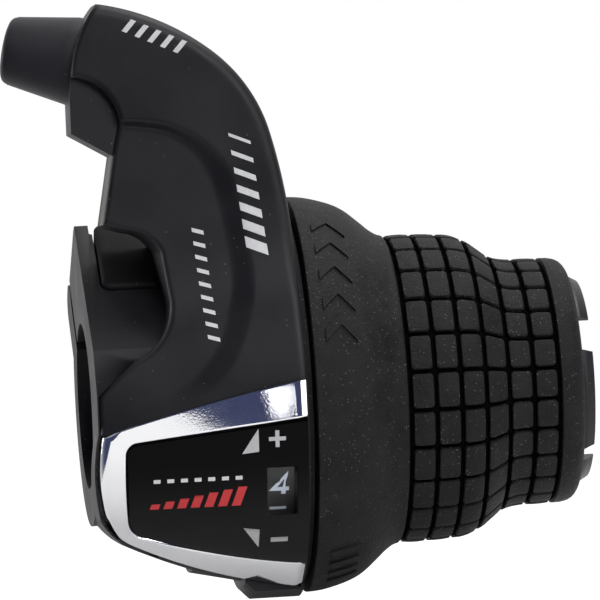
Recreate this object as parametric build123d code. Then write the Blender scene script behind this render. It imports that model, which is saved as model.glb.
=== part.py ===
from build123d import *

import os
from math import atan, cos, hypot, radians, sin, tan

# Twist grip shifter for a plain handlebar, one solid for each piece, in millimetres.
# The bar's axis is X and the origin lies on it, in the clamp's end face. The grip is towards +X,
# the gear indicator faces -Y, called the front, and the cable arm rises along +Z.
# A front view is drawn in x and z, and a side view in f, the distance in front of the bar's axis, and z.

# Handlebar clamp and bar tube
BAR_R = 11.1
CLAMP_FIT = 0.05
CLAMP_LENGTH = 12.0
STRAP_WALL = 5.05
SLOT_ANGLE = 133.0
SLOT_W = 1.6
LUG_REACH = 13.4
LUG_T = 5.7
STRAP_RELIEF = 0.8
TUBE_RELIEF = 0.3
TUBE_WALL = 1.15
RUN_CLEARANCE = 0.05
SLEEVE_WALL = 1.65

# Clamp bolt, an M5 cap screw with its washer and nut
BOLT_R = 2.5
BOLT_CLEARANCE = 0.2
BOLT_RING = 19.6
HEAD_R = 4.25
HEAD_H = 5.0
HEX_SOCKET = 4.0
WASHER_R = 4.6
WASHER_T = 1.0
NUT_WIDTH = 8.0
NUT_T = 4.0
NUT_DEPTH = 2.6

# Drum and the stack of turning parts inside it, along the bar
END_WALL = 2.2
THRUST_T = 0.8
AXIAL_PLAY = 0.1
DETENT_W = 2.1
SPOOL_W = 2.8
NUMBER_W = 5.2
SPIGOT_L = 1.3
BELL_GAP = 1.1
SPOOL_CHAMBER_R = 20.0
CHAMBER_WALL = 4.4
CUP_WALL = 1.2
RING_CLEARANCE = 0.4
MOUTH_R = 27.0
CONE_SLOPE = 0.222
BELLY_R = 27.2
BELLY_W = 7.8
BELLY_CHAMFER = 1.3
BELLY_TOP_Z = 6.0
DRUM_STEP = 0.6
BELLY_FRONT = 8.3
BRIDGE_FRONT = 3.0
SEAL_T = 0.7
SEAL_W = 2.3

# Cable arm and its front cover
ARM_INSET = 7.2
ARM_SWEEP = 6.0
ARM_BACK = 3.5
ARM_SPLIT = 10.5
ARM_BLEND = 22.0
ARM_FOOT_Z = 14.0
ARM_WALL = 2.0
COVER_WALL = 2.4
PANEL_DEPTH = 0.9
BLOCK_FRONT = 16.8
BACK_EDGE = 1.0
BACK_DEPTH = 5.0
BACK_EDGE_Z = 24.0
COVER_BEVEL = 1.2
LINE_TOLERANCE = 0.05
ARM_TIP = (3.0, 53.25)
TIP_MIDDLE = (-0.3, 47.0)
TIP_LOW = (-0.85, 43.7)
PARTING_MIDDLE = (3.6, 41.2)
PARTING_END = (5.1, 37.5)
ARM_UNDER = (4.05, 33.1)
ARM_HEEL = (2.3, 24.0)

# Cable outlet, casing socket and the liner behind it
OUTLET_ROOT = (0.0, 10.5, 46.1)
OUTLET_YAW = 13.7
OUTLET_RISE = 13.1
OUTLET_LENGTH = 9.0
OUTLET_ROOT_R = 5.9
OUTLET_END_R = 4.45
OUTLET_INSIDE = 4.9
OUTLET_EDGE = 0.5
CASING_R = 2.6
CASING_DEPTH = 8.0
WIRE_HOLE_R = 1.5
GUIDE_W = 2.8
GUIDE_GROOVE_W = 1.4
GUIDE_GROOVE_DEPTH = 2.0
GUIDE_FIT = 0.05
GUIDE_FOOT_Z = 27.0
GUIDE_BEND = 11.0

# Indicator bezel and lens
BEZEL_DEPTH = 1.4
BEZEL_PROUD = 0.35
BEZEL_RIM = 0.35
CHIN_STEP = 0.4
LENS_GAP = 0.08
BEZEL_END_GAP = 0.3
BEZEL_FOOT = 6.5
WINDOW_Z = -12.8
WINDOW_H = 7.4
WINDOW_EDGE = 0.4

# Clamp's roof in the side view, and the hole cap on its sloping front
CAP_X = 2.5
CAP_W = 8.1
CAP_H = 13.4
CAP_CORNER = 1.2
CAP_T = 2.6
CAP_PROUD = 0.7
CAP_GAP = 0.25
CAP_DROP = 0.4
ROOF_FOOT = (18.5, 7.5)
ROOF_PEAK = (-1.7, 24.3)

# Cover screws
SCREW_R = 1.1
SCREW_HEAD_R = 2.0
SCREW_HEAD_H = 1.3
SCREW_BITE = 4.5
SCREW_CLEARANCE = 0.1
POST_R = 2.3

# Grip sleeve and rubber
RUBBER_T = 2.6
BELL_STEP = 0.3
WAIST_R = 20.7
END_R = 16.5
GRIP_LENGTH = 37.4
END_EDGE = 1.4
SLEEVE_PAST = 1.6
TAB_L = 1.8
TAB_EDGE = 0.9
TAB_COUNT = 5
TAB_GAP = 9.0
TAB_KEY_GAP = 19.5
TAB_TURN = 26.3
KEY_COUNT = 3
KEY_H = 1.0
KEY_W = 3.0
KEY_GAP = 0.1
HUB_WALL = 2.0
BAND_T = 1.4
BLOCK_ROWS = 25
BLOCK_TURN = 6.6
BLOCK_COLUMNS = 6
FIRST_GROOVE = 13.2
END_BAND = 3.6
GROOVE_W = 0.6
GROOVE_DEPTH = 0.7
BLOCK_DRAFT = 14.0
BLOCK_ROOT = 0.4

# Detent, gears and retaining ring
GEAR_COUNT = 7
GEAR_STEP = 20.0
NOTCH_DEPTH = 1.1
NOTCH_W = 2.6
SPRING_T = 0.45
SPRING_SPAN = 6.4
SPRING_POCKET = 2.6
NOSE_GAP = 0.25
SHOULDER_GAP = 0.9
SPRING_FOOT = 1.2
CIRCLIP_W = 1.0
CIRCLIP_INSET = 4.0
TUBE_PAST = 1.0
CIRCLIP_DEPTH = 0.6
CIRCLIP_LAND = 0.4
CIRCLIP_OPENING = 50.0
NIPPLE_R = 2.2
NIPPLE_ANGLE = -60.0
WIRE_R = 0.6
WIRE_DEPTH = 1.8
FLANGE_CLEARANCE = 1.4

# Sizes that follow from those above
BORE_R = BAR_R + CLAMP_FIT
STRAP_R = BORE_R + STRAP_WALL
TUBE_BORE_R = BORE_R + TUBE_RELIEF
TUBE_R = TUBE_BORE_R + TUBE_WALL
SLEEVE_BORE_R = TUBE_R + RUN_CLEARANCE
SLEEVE_R = SLEEVE_BORE_R + SLEEVE_WALL
KEY_R = SLEEVE_R + KEY_H
WALL_X = CLAMP_LENGTH + STRAP_RELIEF
CHAMBER_X = WALL_X + END_WALL
SLEEVE_X = CHAMBER_X + THRUST_T + AXIAL_PLAY
SPOOL_X = SLEEVE_X + DETENT_W
NUMBER_X = SPOOL_X + SPOOL_W
HUB_X = NUMBER_X + NUMBER_W
MOUTH_X = HUB_X + SPIGOT_L
BELL_X = MOUTH_X + BELL_GAP
GRIP_END_X = BELL_X + GRIP_LENGTH
LAST_GROOVE = GRIP_LENGTH - END_BAND
TAB_X = GRIP_END_X + SLEEVE_PAST
STEP_X = NUMBER_X - AXIAL_PLAY
SPOOL_R = SPOOL_CHAMBER_R - FLANGE_CLEARANCE
WIRE_RING = SPOOL_R - WIRE_DEPTH
ARM_FRONT = MOUTH_R - ARM_INSET
BELL_R = MOUTH_R - BELL_STEP
NUMBER_CHAMBER_R = MOUTH_R - CHAMBER_WALL
NUMBER_R = NUMBER_CHAMBER_R - RING_CLEARANCE
BAND_SEAT_R = NUMBER_R - BAND_T
SPOOL_CUP_R = SPOOL_CHAMBER_R + CUP_WALL
NUMBER_CUP_R = NUMBER_CHAMBER_R + CUP_WALL
BEZEL_END_X = MOUTH_X - BEZEL_END_GAP
CIRCLIP_X = GRIP_END_X - CIRCLIP_INSET
TUBE_END_X = CIRCLIP_X + CIRCLIP_W + TUBE_PAST
LUG_FACE = -SLOT_W / 2 - LUG_T
NUT_FACE = SLOT_W / 2 + NUT_DEPTH
NUT_CORNER_R = NUT_WIDTH / 2 / cos(radians(30))
FAR = 80.0
UP = (Align.CENTER, Align.CENTER, Align.MIN)


def turned(*points):
    """Solid of revolution about the bar's axis, from a closed profile of (x, radius) points."""
    return revolve(Plane.XZ * make_face(Polyline(*points, close=True)), Axis.X)


def ring(x0, x1, inner, outer):
    """Plain ring about the bar's axis."""
    return turned((x0, inner), (x1, inner), (x1, outer), (x0, outer))


def prism(face, f0, f1):
    """Front-view face carried from depth f0 to depth f1 in front of the bar's axis."""
    return extrude(Plane.XZ.offset(f0) * face, f1 - f0)


def at_angle(angle):
    """Turn about the bar's axis, from the front towards the top; local -Y then points outwards."""
    return Location((0, 0, 0), (-angle, 0, 0))


def cone_r(x, inset=0.0):
    """Radius of the front skin round the bar at a place along it."""
    return MOUTH_R - CONE_SLOPE * (MOUTH_X - x) - inset


def cone(inset=0.0):
    """Solid inside the front skin's cone, longer than the part at both ends."""
    x0 = -FAR / 4
    x1 = FAR / 2
    return turned((x0, 0), (x1, 0), (x1, cone_r(x1, inset)), (x0, cone_r(x0, inset)))


def front_form(inset=0.0):
    """Cone round the bar run into the arm's swept front plane by a wide hollow blend."""
    x0 = -FAR / 4
    x1 = FAR / 2
    swept = tan(radians(ARM_SWEEP))
    reach = ARM_FRONT - inset
    plan = make_face(Polyline(
        (x0, 0), (x1, 0), (x1, -reach - (x1 - CHAMBER_X) * swept), (x0, -reach - (x0 - CHAMBER_X) * swept),
        close=True))
    slab = extrude(plan, FAR)
    form = cone(inset) + slab
    creases = [e for e in form.edges() if e.center().Z > 1 and e.center().Y < -ARM_SPLIT and e.length < FAR]
    crease = max(creases, key=lambda e: e.bounding_box().size.X if e.center().Z < FAR / 2 else 0)
    return fillet(crease, ARM_BLEND + inset)


def round_z(angle):
    """Height of a point of the indicator, given by its angle round the drum's mouth from the front."""
    return MOUTH_R * sin(radians(angle))


def bezel_top():
    """Line between the cover and the bezel, from the left end to the mouth."""
    return ThreePointArc((0.2, round_z(-8.5)), (MOUTH_X * 0.47, round_z(-1.3)), (MOUTH_X, round_z(5.1)))


def band_line():
    """Outer line of the band in the front view: up from the bezel, flank, elbow and brow."""
    rise = Line(bezel_top() @ 1, (MOUTH_X, 16.0))
    flank = TangentArc(rise @ 1, (MOUTH_X - 2.4, 35.2), tangent=(0, 1))
    elbow = TangentArc(flank @ 1, (MOUTH_X - 9.2, 46.1), tangent=flank % 1)
    brow = TangentArc(elbow @ 1, ARM_TIP, tangent=elbow % 1)
    return [rise, flank, elbow, brow]


def cover_outline():
    """Front view of the cover: arm, band and panel down to the bezel."""
    foot = bezel_top()
    edges = [
        *band_line(),
        ThreePointArc(ARM_TIP, TIP_MIDDLE, TIP_LOW),
        ThreePointArc(TIP_LOW, PARTING_MIDDLE, PARTING_END),
        Polyline(PARTING_END, ARM_UNDER, ARM_HEEL, (CLAMP_LENGTH - 6.4, 23.0)),
        ThreePointArc((CLAMP_LENGTH - 6.4, 23.0), (CLAMP_LENGTH - 3.6, 21.8), (CLAMP_LENGTH - 2.3, 20.0)),
        Line((CLAMP_LENGTH - 2.3, 20.0), (CLAMP_LENGTH - 1.5, 13.5)),
        ThreePointArc((CLAMP_LENGTH - 1.5, 13.5), (CLAMP_LENGTH - 3.0, 8.6), (5.0, 5.6)),
        Polyline((5.0, 5.6), (0.2, 1.4), foot @ 0),
        foot,
    ]
    return make_face(edges)


def arm_outline():
    """Front view of the arm alone, from the top of the drum upwards."""
    return cover_outline() & Pos(0, FAR / 2 + ARM_FOOT_Z) * Rectangle(FAR * 2, FAR)


def arm_hollow():
    """Front view of the space inside the arm's side walls."""
    return offset(arm_outline(), -ARM_WALL, kind=Kind.INTERSECTION)


def panel_outline():
    """Front view of the dished panel that the raised band bounds."""
    edge = Spline(
        (5.0, 37.6), (MOUTH_X - 14.5, 36.1), (MOUTH_X - 9.0, 31.5), (MOUTH_X - 6.6, 13.0),
        (MOUTH_X - 12.0, 1.5), (3.0, -3.0))
    rest = Polyline((3.0, -3.0), (-6.0, -3.0), (-6.0, 37.6), (5.0, 37.6))
    return make_face([edge, rest])


def block_outline():
    """Front view of the rear moulding's block that shows under the arm's end."""
    return make_face([
        ThreePointArc(TIP_LOW, PARTING_MIDDLE, PARTING_END),
        Polyline(PARTING_END, ARM_UNDER, (-1.2, 36.25), (-1.15, 40.5), TIP_LOW),
    ])


def bezel_outline():
    """Front view of the whole indicator, bezel included."""
    top = bezel_top()
    end_low = (BEZEL_END_X, round_z(-71.5))
    corner = (4.2, round_z(-43.8))
    side_low = (0.5, round_z(-34.0))
    return make_face([
        top,
        Polyline(top @ 1, (BEZEL_END_X, round_z(4.9)), end_low),
        ThreePointArc(end_low, (13.2, round_z(-56.1)), corner),
        ThreePointArc(corner, (2.0, round_z(-39.2)), side_low),
        ThreePointArc(side_low, (-0.3, round_z(-20.6)), top @ 0),
    ])


def lens_outline(inset=0.0):
    """Front view of the bezel's inside, open past the drum's mouth, drawn in by an inset."""
    past = MOUTH_X + 3.0
    end_top = (past, round_z(-5.0) - inset)
    end_low = (past, round_z(-57.3) + inset)
    top_left = (4.8, round_z(-10.7) - inset)
    side_top = (3.4 + inset, round_z(-13.9))
    side_low = (3.65 + inset, round_z(-34.6))
    low_left = (6.2, round_z(-41.9) + inset)
    return make_face([
        Line(end_top, top_left),
        ThreePointArc(top_left, (3.9 + inset, round_z(-11.7) - inset), side_top),
        ThreePointArc(side_top, (3.4 + inset, round_z(-26.4)), side_low),
        ThreePointArc(side_low, (4.5 + inset, round_z(-39.6) + inset), low_left),
        ThreePointArc(low_left, (15.2, round_z(-49.7) + inset), end_low),
        Line(end_low, end_top),
    ])


def core():
    """Stepped round core that the cover fits over: clamp, spool chamber and number chamber."""
    return turned(
        (-FAR, 0), (-FAR, STRAP_R), (WALL_X, STRAP_R), (WALL_X, SPOOL_CUP_R), (STEP_X, SPOOL_CUP_R),
        (STEP_X, NUMBER_CUP_R), (FAR, NUMBER_CUP_R), (FAR, 0))


def chamber():
    """Space for the turning parts, open at the drum's mouth."""
    return turned(
        (CHAMBER_X, 0), (CHAMBER_X, SPOOL_CHAMBER_R), (STEP_X, SPOOL_CHAMBER_R), (STEP_X, NUMBER_CHAMBER_R),
        (FAR, NUMBER_CHAMBER_R), (FAR, 0))


def cover_space():
    """Everything the cover and the hollow behind it take up."""
    return (prism(cover_outline(), ARM_SPLIT, FAR / 2) & front_form()) - core()


def side_plane(x):
    """Plane for a side view, drawn in f and z and carried towards -X."""
    return Plane(origin=(x, 0, 0), x_dir=(0, -1, 0), z_dir=(-1, 0, 0))


def bolt_plane():
    """Plane on the clamp's middle whose x runs out along the slot and whose normal is the bolt's axis."""
    angle = radians(SLOT_ANGLE)
    return Plane(
        origin=(CLAMP_LENGTH / 2, 0, 0), x_dir=(0, -cos(angle), sin(angle)),
        z_dir=(0, -sin(angle), -cos(angle)))


def along_bolt(solid, height):
    """A solid drawn upwards from the origin, moved to a height on the clamp bolt's axis."""
    return bolt_plane() * Pos(BOLT_RING, 0, height) * solid


def clamp_section():
    """Side view of the clamp's roof: sloping front for the cap, peak, and back slope down to the slot."""
    return make_face(Polyline(
        (20.4, 1.4), ROOF_FOOT, ROOF_PEAK, (-3.4, 23.8), (-15.6, 16.6), (0, 0), (19.4, -6.5), close=True))


def cap_plane():
    """Plane on the roof's sloping front, x along the bar and z out of the slope."""
    foot = Vector(*ROOF_FOOT)
    slope = Vector(*ROOF_PEAK) - foot
    rise = slope.normalized()
    spot = foot + rise * (slope.length - CAP_H / 2 - CAP_DROP)
    return Plane(
        origin=(CAP_X + CAP_W / 2, -spot.X, spot.Y), x_dir=(1, 0, 0), z_dir=(0, -rise.Y, -rise.X))


def cap_blank(grow, height):
    """Rounded plate the size of the hole cap, grown all round, sunk into the slope."""
    plate = RectangleRounded(CAP_W + 2 * grow, CAP_H + 2 * grow, CAP_CORNER + grow)
    return cap_plane() * Pos(0, 0, CAP_PROUD - height) * extrude(plate, height)


def clamp():
    """Split clamp: strap, roof and lower lug, with the slot, the bolt's hole and the nut's pocket."""
    lug_r = BORE_R + LUG_REACH
    block = ring(0, CLAMP_LENGTH, 0, STRAP_R)
    block += extrude(side_plane(CLAMP_LENGTH) * clamp_section(), CLAMP_LENGTH)
    lug = Pos(lug_r / 2, 0, -(SLOT_W + LUG_T) / 2) * Box(lug_r, CLAMP_LENGTH, LUG_T)
    corners = [e for e in lug.edges().filter_by(Axis.Y) if e.center().X > lug_r - 1]
    lug = fillet(corners, LUG_T * 0.4)
    block += bolt_plane() * lug
    block -= bolt_plane() * Pos(FAR / 2, 0, 0) * Box(FAR, FAR, SLOT_W)
    hole = Cylinder(BOLT_R + BOLT_CLEARANCE, FAR, align=UP)
    block -= along_bolt(hole, LUG_FACE - 1)
    nut = extrude(RegularPolygon(NUT_CORNER_R + BOLT_CLEARANCE, 6), FAR)
    block -= along_bolt(nut, NUT_FACE)
    return block


def arm_back():
    """Back half of the cable arm with the block under its end, hollow towards the cover."""
    shell = prism(arm_outline(), ARM_BACK, ARM_SPLIT)
    shell += prism(block_outline(), ARM_BACK, BLOCK_FRONT)
    back = shell.faces().sort_by(Axis.Y)[-1]
    edges = [e for e in back.edges() if e.center().Z > BACK_EDGE_Z]
    shell = chamfer(edges, BACK_EDGE, BACK_DEPTH, reference=back)
    return shell - prism(arm_hollow(), ARM_BACK + ARM_WALL, FAR / 2)


def screw_spots():
    """Front-view places of the cover screws: by the band, under the arm's end and beside the panel."""
    return [(MOUTH_X - 3.6, 30.0), (8.6, 38.6), (6.6, 28.6)]


def outlet_plane():
    """Plane at the outlet's root in the arm's end, normal pointing the way the casing leaves."""
    yaw = radians(OUTLET_YAW)
    rise = radians(OUTLET_RISE)
    x, f, z = OUTLET_ROOT
    way = (-cos(yaw) * cos(rise), sin(yaw) * cos(rise), sin(rise))
    return Plane(origin=(x, -f, z), x_dir=(sin(yaw), cos(yaw), 0), z_dir=way)


def outlet_blank():
    """Outlet's outside: a plug inside the arm and the tapered nozzle."""
    profile = make_face(Polyline(
        (0, -OUTLET_INSIDE), (OUTLET_ROOT_R, -OUTLET_INSIDE), (OUTLET_ROOT_R, 0),
        (OUTLET_END_R, OUTLET_LENGTH), (0, OUTLET_LENGTH), close=True))
    return outlet_plane() * revolve(Plane.XZ * profile, Axis.Z)


def housing():
    """Rear moulding: clamp, drum with its belly, bar tube, chin under the indicator and the arm's back."""
    drum = turned(
        (WALL_X, 0), (WALL_X, cone_r(WALL_X, DRUM_STEP)), (MOUTH_X, MOUTH_R - DRUM_STEP), (MOUTH_X, 0))
    belly_x = MOUTH_X - BELLY_W
    belly = turned(
        (belly_x, 0), (belly_x, BELLY_R - BELLY_CHAMFER), (belly_x + BELLY_CHAMFER, BELLY_R),
        (MOUTH_X, BELLY_R), (MOUTH_X, 0))
    belly &= Pos(MOUTH_X, FAR / 2 - BELLY_FRONT, BELLY_TOP_Z - FAR / 2) * Box(FAR, FAR, FAR)
    bridge = Pos(CLAMP_LENGTH, -FAR / 2 - BRIDGE_FRONT, 0) * Box(2 * STRAP_RELIEF, FAR, FAR)
    bridge &= ring(0, FAR, 0, STRAP_R)
    chin = prism(offset(bezel_outline(), BEZEL_RIM), 0, FAR / 2) & cone(CHIN_STEP)
    chin &= Pos(WALL_X + 1 - FAR / 2, 0, 0) * Box(FAR, FAR, FAR)
    chin -= ring(-FAR, FAR, 0, STRAP_R - 1.0)
    body = drum + belly + arm_back() + clamp() + bridge + chin
    body -= cover_space()
    body += turned(
        (WALL_X, 0), (WALL_X, SPOOL_CUP_R), (STEP_X, SPOOL_CUP_R), (STEP_X, NUMBER_CUP_R),
        (MOUTH_X, NUMBER_CUP_R), (MOUTH_X, 0))
    body -= chamber()
    body += ring(CHAMBER_X - 1, TUBE_END_X, 0, TUBE_R)
    body -= ring(-FAR, WALL_X, 0, BORE_R)
    body -= ring(CLAMP_LENGTH, FAR, 0, TUBE_BORE_R)
    body -= ring(CIRCLIP_X, CIRCLIP_X + CIRCLIP_W, TUBE_R - CIRCLIP_DEPTH, SLEEVE_R)
    body -= prism(bezel_outline(), BEZEL_FOOT, FAR / 2) - cone(BEZEL_DEPTH)
    window = Pos(NUMBER_X + NUMBER_W / 2, WINDOW_Z) * Rectangle(NUMBER_W - 2 * WINDOW_EDGE, WINDOW_H)
    body -= prism(window, STRAP_R, FAR / 2)
    body -= cap_blank(CAP_GAP, CAP_T)
    body -= spring_pocket()
    body -= cable_hole()
    body -= outlet_blank()
    for x, z in screw_spots():
        body += prism(Pos(x, z) * Circle(POST_R), ARM_BACK, ARM_SPLIT)
        body -= prism(Pos(x, z) * Circle(SCREW_R + SCREW_CLEARANCE), 0, ARM_SPLIT + 1)
        body -= prism(Pos(x, z) * Circle(SCREW_HEAD_R + SCREW_CLEARANCE), 0, ARM_BACK + SCREW_HEAD_H)
    return body


def cable_hole():
    """Way for the inner wire from the spool up into the arm."""
    x = SPOOL_X + SPOOL_W / 2
    return Pos(x, -WIRE_RING, FAR / 4) * Cylinder(WIRE_HOLE_R, FAR / 2)


def spring_pocket():
    """Pocket in the drum's floor that holds the detent spring."""
    low = SPOOL_CHAMBER_R + SPRING_POCKET
    span = 2 * (SPRING_SPAN + RING_CLEARANCE)
    block = Box(DETENT_W + 2 * RING_CLEARANCE, span, low)
    return Pos(SLEEVE_X + DETENT_W / 2, 0, -low / 2) * block - ring(-FAR, FAR, 0, TUBE_R + TUBE_WALL)


def on_band_line(edge):
    """True for an edge of the cover's front face that runs along the band's outer line."""
    middle = edge @ 0.5
    spot = Vertex(middle.X, middle.Z, 0)
    near = min(line.distance_to(spot) for line in band_line())
    clear_of_core = hypot(middle.Y, middle.Z) > NUMBER_CUP_R + COVER_WALL / 2
    return near < LINE_TOLERANCE and clear_of_core and -middle.Y > ARM_SPLIT + COVER_WALL


def front_cover():
    """Front moulding: a shell with a raised band, a dished panel, side walls and screw bosses."""
    space = cover_space()
    space = chamfer([e for e in space.edges() if on_band_line(e)], COVER_BEVEL)
    skin = space - (prism(panel_outline(), 0, FAR) - front_form(PANEL_DEPTH))
    hollow = prism(arm_hollow(), 0, FAR / 2) & front_form(COVER_WALL)
    cover = skin - (hollow - ring(-FAR, FAR, 0, NUMBER_CUP_R + ARM_WALL))
    inside = front_form(COVER_WALL / 2)
    for x, z in screw_spots():
        cover += prism(Pos(x, z) * Circle(POST_R), ARM_SPLIT, FAR / 2) & inside
        cover -= prism(Pos(x, z) * Circle(SCREW_R + SCREW_CLEARANCE / 2), 0, ARM_SPLIT + SCREW_BITE + 0.5)
    return cover - outlet_blank()


def cable_outlet():
    """Tapered nozzle with the casing's socket and the wire's hole."""
    nozzle = outlet_blank()
    rim = nozzle.edges().filter_by(GeomType.CIRCLE).sort_by(Axis.X)[0]
    nozzle = chamfer(rim, OUTLET_EDGE)
    socket = Pos(0, 0, OUTLET_LENGTH - CASING_DEPTH) * Cylinder(CASING_R, FAR, align=UP)
    wire_way = Pos(0, 0, -FAR / 2) * Cylinder(WIRE_HOLE_R, FAR, align=UP)
    return nozzle - outlet_plane() * (socket + wire_way)


def cable_guide():
    """Bent trough that leads the wire from the spool to the outlet's plug, open on the bend's outside."""
    plane = outlet_plane()
    foot_x = SPOOL_X + SPOOL_W / 2
    end = plane.origin - plane.z_dir * (OUTLET_INSIDE + GUIDE_FIT)
    reach = (foot_x - plane.origin.X) / plane.z_dir.X
    corner = plane.origin + plane.z_dir * reach
    foot = Vector(foot_x, GUIDE_W / 2 - WIRE_RING, GUIDE_FOOT_Z)
    path = FilletPolyline(tuple(foot), tuple(corner), tuple(end), radius=GUIDE_BEND)
    across = (corner - foot).cross(plane.z_dir)
    groove = Pos(0, (GUIDE_W - GUIDE_GROOVE_DEPTH) / 2) * Rectangle(GUIDE_GROOVE_W, GUIDE_GROOVE_DEPTH)
    section = Rectangle(GUIDE_W, GUIDE_W) - groove
    return sweep(Plane(origin=path @ 0, x_dir=across, z_dir=path % 0) * section, path)


def hole_cap():
    """Rounded lid with softened edges, let into the clamp's sloping front."""
    cap = cap_blank(0, CAP_T)
    top = cap.faces().sort_by(Axis((0, 0, 0), tuple(cap_plane().z_dir)))[-1]
    return chamfer(top.edges(), CAP_PROUD * 0.6)


def indicator_bezel():
    """Bright frame on the cone, open at the grip's end."""
    frame = bezel_outline() - lens_outline()
    return prism(frame, BEZEL_FOOT, FAR / 2) & (cone(-BEZEL_PROUD) - cone(BEZEL_DEPTH))


def indicator_lens():
    """Curved lens that fills the bezel."""
    before_mouth = Pos(BEZEL_END_X - LENS_GAP - FAR, 0) * Rectangle(2 * FAR, 2 * FAR)
    face = lens_outline(LENS_GAP) & before_mouth
    return prism(face, BEZEL_FOOT, FAR / 2) & (cone() - cone(BEZEL_DEPTH))


def clamp_bolt():
    """Socket-head bolt from the lower lug up into the nut."""
    shank = Cylinder(BOLT_R, NUT_FACE + NUT_T - LUG_FACE + WASHER_T, align=UP)
    head = Pos(0, 0, -HEAD_H) * Cylinder(HEAD_R, HEAD_H, align=UP)
    head = chamfer(head.edges().group_by(Axis.Z)[0], 0.5)
    hexagon = RegularPolygon(HEX_SOCKET / 2 / cos(radians(30)), 6)
    socket = Pos(0, 0, -HEAD_H) * extrude(hexagon, HEAD_H * 0.55)
    return along_bolt(shank + head - socket, LUG_FACE - WASHER_T)


def clamp_washer():
    """Plain washer under the bolt's head."""
    washer = extrude(Circle(WASHER_R) - Circle(BOLT_R + BOLT_CLEARANCE), WASHER_T)
    return along_bolt(washer, LUG_FACE - WASHER_T)


def clamp_nut():
    """Hexagon nut in the roof's pocket."""
    nut = extrude(RegularPolygon(NUT_CORNER_R, 6) - Circle(BOLT_R), NUT_T)
    return along_bolt(nut, NUT_FACE)


def cover_screws():
    """Pan-head screws from the back of the arm into the cover's bosses."""
    screws = []
    for x, z in screw_spots():
        head_f = ARM_BACK + SCREW_HEAD_H
        shank = prism(Pos(x, z) * Circle(SCREW_R), head_f - 0.1, ARM_SPLIT + SCREW_BITE)
        head = prism(Pos(x, z) * Circle(SCREW_HEAD_R), ARM_BACK, head_f)
        slot = prism(Pos(x, z) * Rectangle(SCREW_HEAD_R * 2, 0.5), ARM_BACK, ARM_BACK + SCREW_HEAD_H * 0.5)
        screws.append(shank + head - slot)
    return Compound(children=[s.solid() for s in screws])


def thrust_washer():
    """Plain washer on the bar tube, against the drum's end wall."""
    return ring(CHAMBER_X, CHAMBER_X + THRUST_T, TUBE_R + RUN_CLEARANCE, KEY_R)


def dust_seal():
    """Dark ring on the drum's mouth, just short of the grip's bell."""
    inner = NUMBER_CHAMBER_R + RING_CLEARANCE / 2
    return ring(MOUTH_X, MOUTH_X + SEAL_T, inner, inner + SEAL_W)


def retaining_ring():
    """Split ring in the bar tube's groove, behind the sleeve's shoulder."""
    floor = TUBE_R - CIRCLIP_DEPTH + RUN_CLEARANCE
    clip = ring(CIRCLIP_X, CIRCLIP_X + CIRCLIP_W - RUN_CLEARANCE, floor, TUBE_R + CIRCLIP_LAND)
    gap_w = 2 * TUBE_R * sin(radians(CIRCLIP_OPENING / 2))
    return clip - Pos(CIRCLIP_X, 0, -TUBE_R) * Box(FAR, gap_w, TUBE_R)


def detent_spring():
    """Bowed leaf with a V nose, its two feet on the pocket's floor."""
    floor = SPOOL_CHAMBER_R + SPRING_POCKET - RUN_CLEARANCE
    nose = SPOOL_R - NOTCH_DEPTH + NOSE_GAP
    shoulder = SPOOL_R + SHOULDER_GAP
    half = NOTCH_W * 0.55
    foot = SPRING_SPAN - SPRING_FOOT
    line = Polyline(
        (-SPRING_SPAN, -floor), (-half, -shoulder), (0, -nose), (half, -shoulder), (SPRING_SPAN, -floor),
        (foot, -floor), (half, -shoulder - SPRING_T * 1.2), (0, -nose - SPRING_T * 1.5),
        (-half, -shoulder - SPRING_T * 1.2), (-foot, -floor), close=True)
    return extrude(side_plane(SPOOL_X) * make_face(line), DETENT_W)


def keyed(blank):
    """A blank with the sleeve's bore and key slots cut through it."""
    blank -= ring(-FAR, FAR, 0, SLEEVE_R + KEY_GAP / 2)
    for k in range(KEY_COUNT):
        slot = Pos(0, -KEY_R / 2, 0) * Box(2 * FAR, KEY_R + KEY_GAP, KEY_W + 2 * KEY_GAP)
        blank -= at_angle(k * 360 / KEY_COUNT) * slot
    return blank


def detent_ring():
    """Notched ring, one notch for each gear, with the middle gear's notch on the spring."""
    blank = ring(SLEEVE_X, SPOOL_X, 0, SPOOL_R)
    mouth_r = SPOOL_R + RING_CLEARANCE / 2
    notch = side_plane(FAR) * make_face(Polyline(
        (-NOTCH_W / 2, -mouth_r), (NOTCH_W / 2, -mouth_r), (0, -SPOOL_R + NOTCH_DEPTH), close=True))
    for k in range(GEAR_COUNT):
        blank -= at_angle((k - (GEAR_COUNT - 1) / 2) * GEAR_STEP) * extrude(notch, 2 * FAR)
    return keyed(blank)


def cable_spool():
    """Spool with a wire groove and a pocket for the wire's nipple."""
    middle = SPOOL_X + SPOOL_W / 2
    groove = ring(middle - WIRE_R, middle + WIRE_R, WIRE_RING - WIRE_R, SPOOL_CHAMBER_R)
    pocket = Pos(NUMBER_X, 0, 0) * Box(SPOOL_W, 2 * NIPPLE_R, 2 * NIPPLE_R)
    blank = ring(SPOOL_X, NUMBER_X, 0, SPOOL_R) - groove
    return keyed(blank - at_angle(NIPPLE_ANGLE) * Pos(0, -SPOOL_R, 0) * pocket)


def number_ring():
    """Thin ring for the numbers, on the sleeve's hub."""
    return ring(NUMBER_X, HUB_X, BAND_SEAT_R + KEY_GAP / 2, NUMBER_R)


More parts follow.
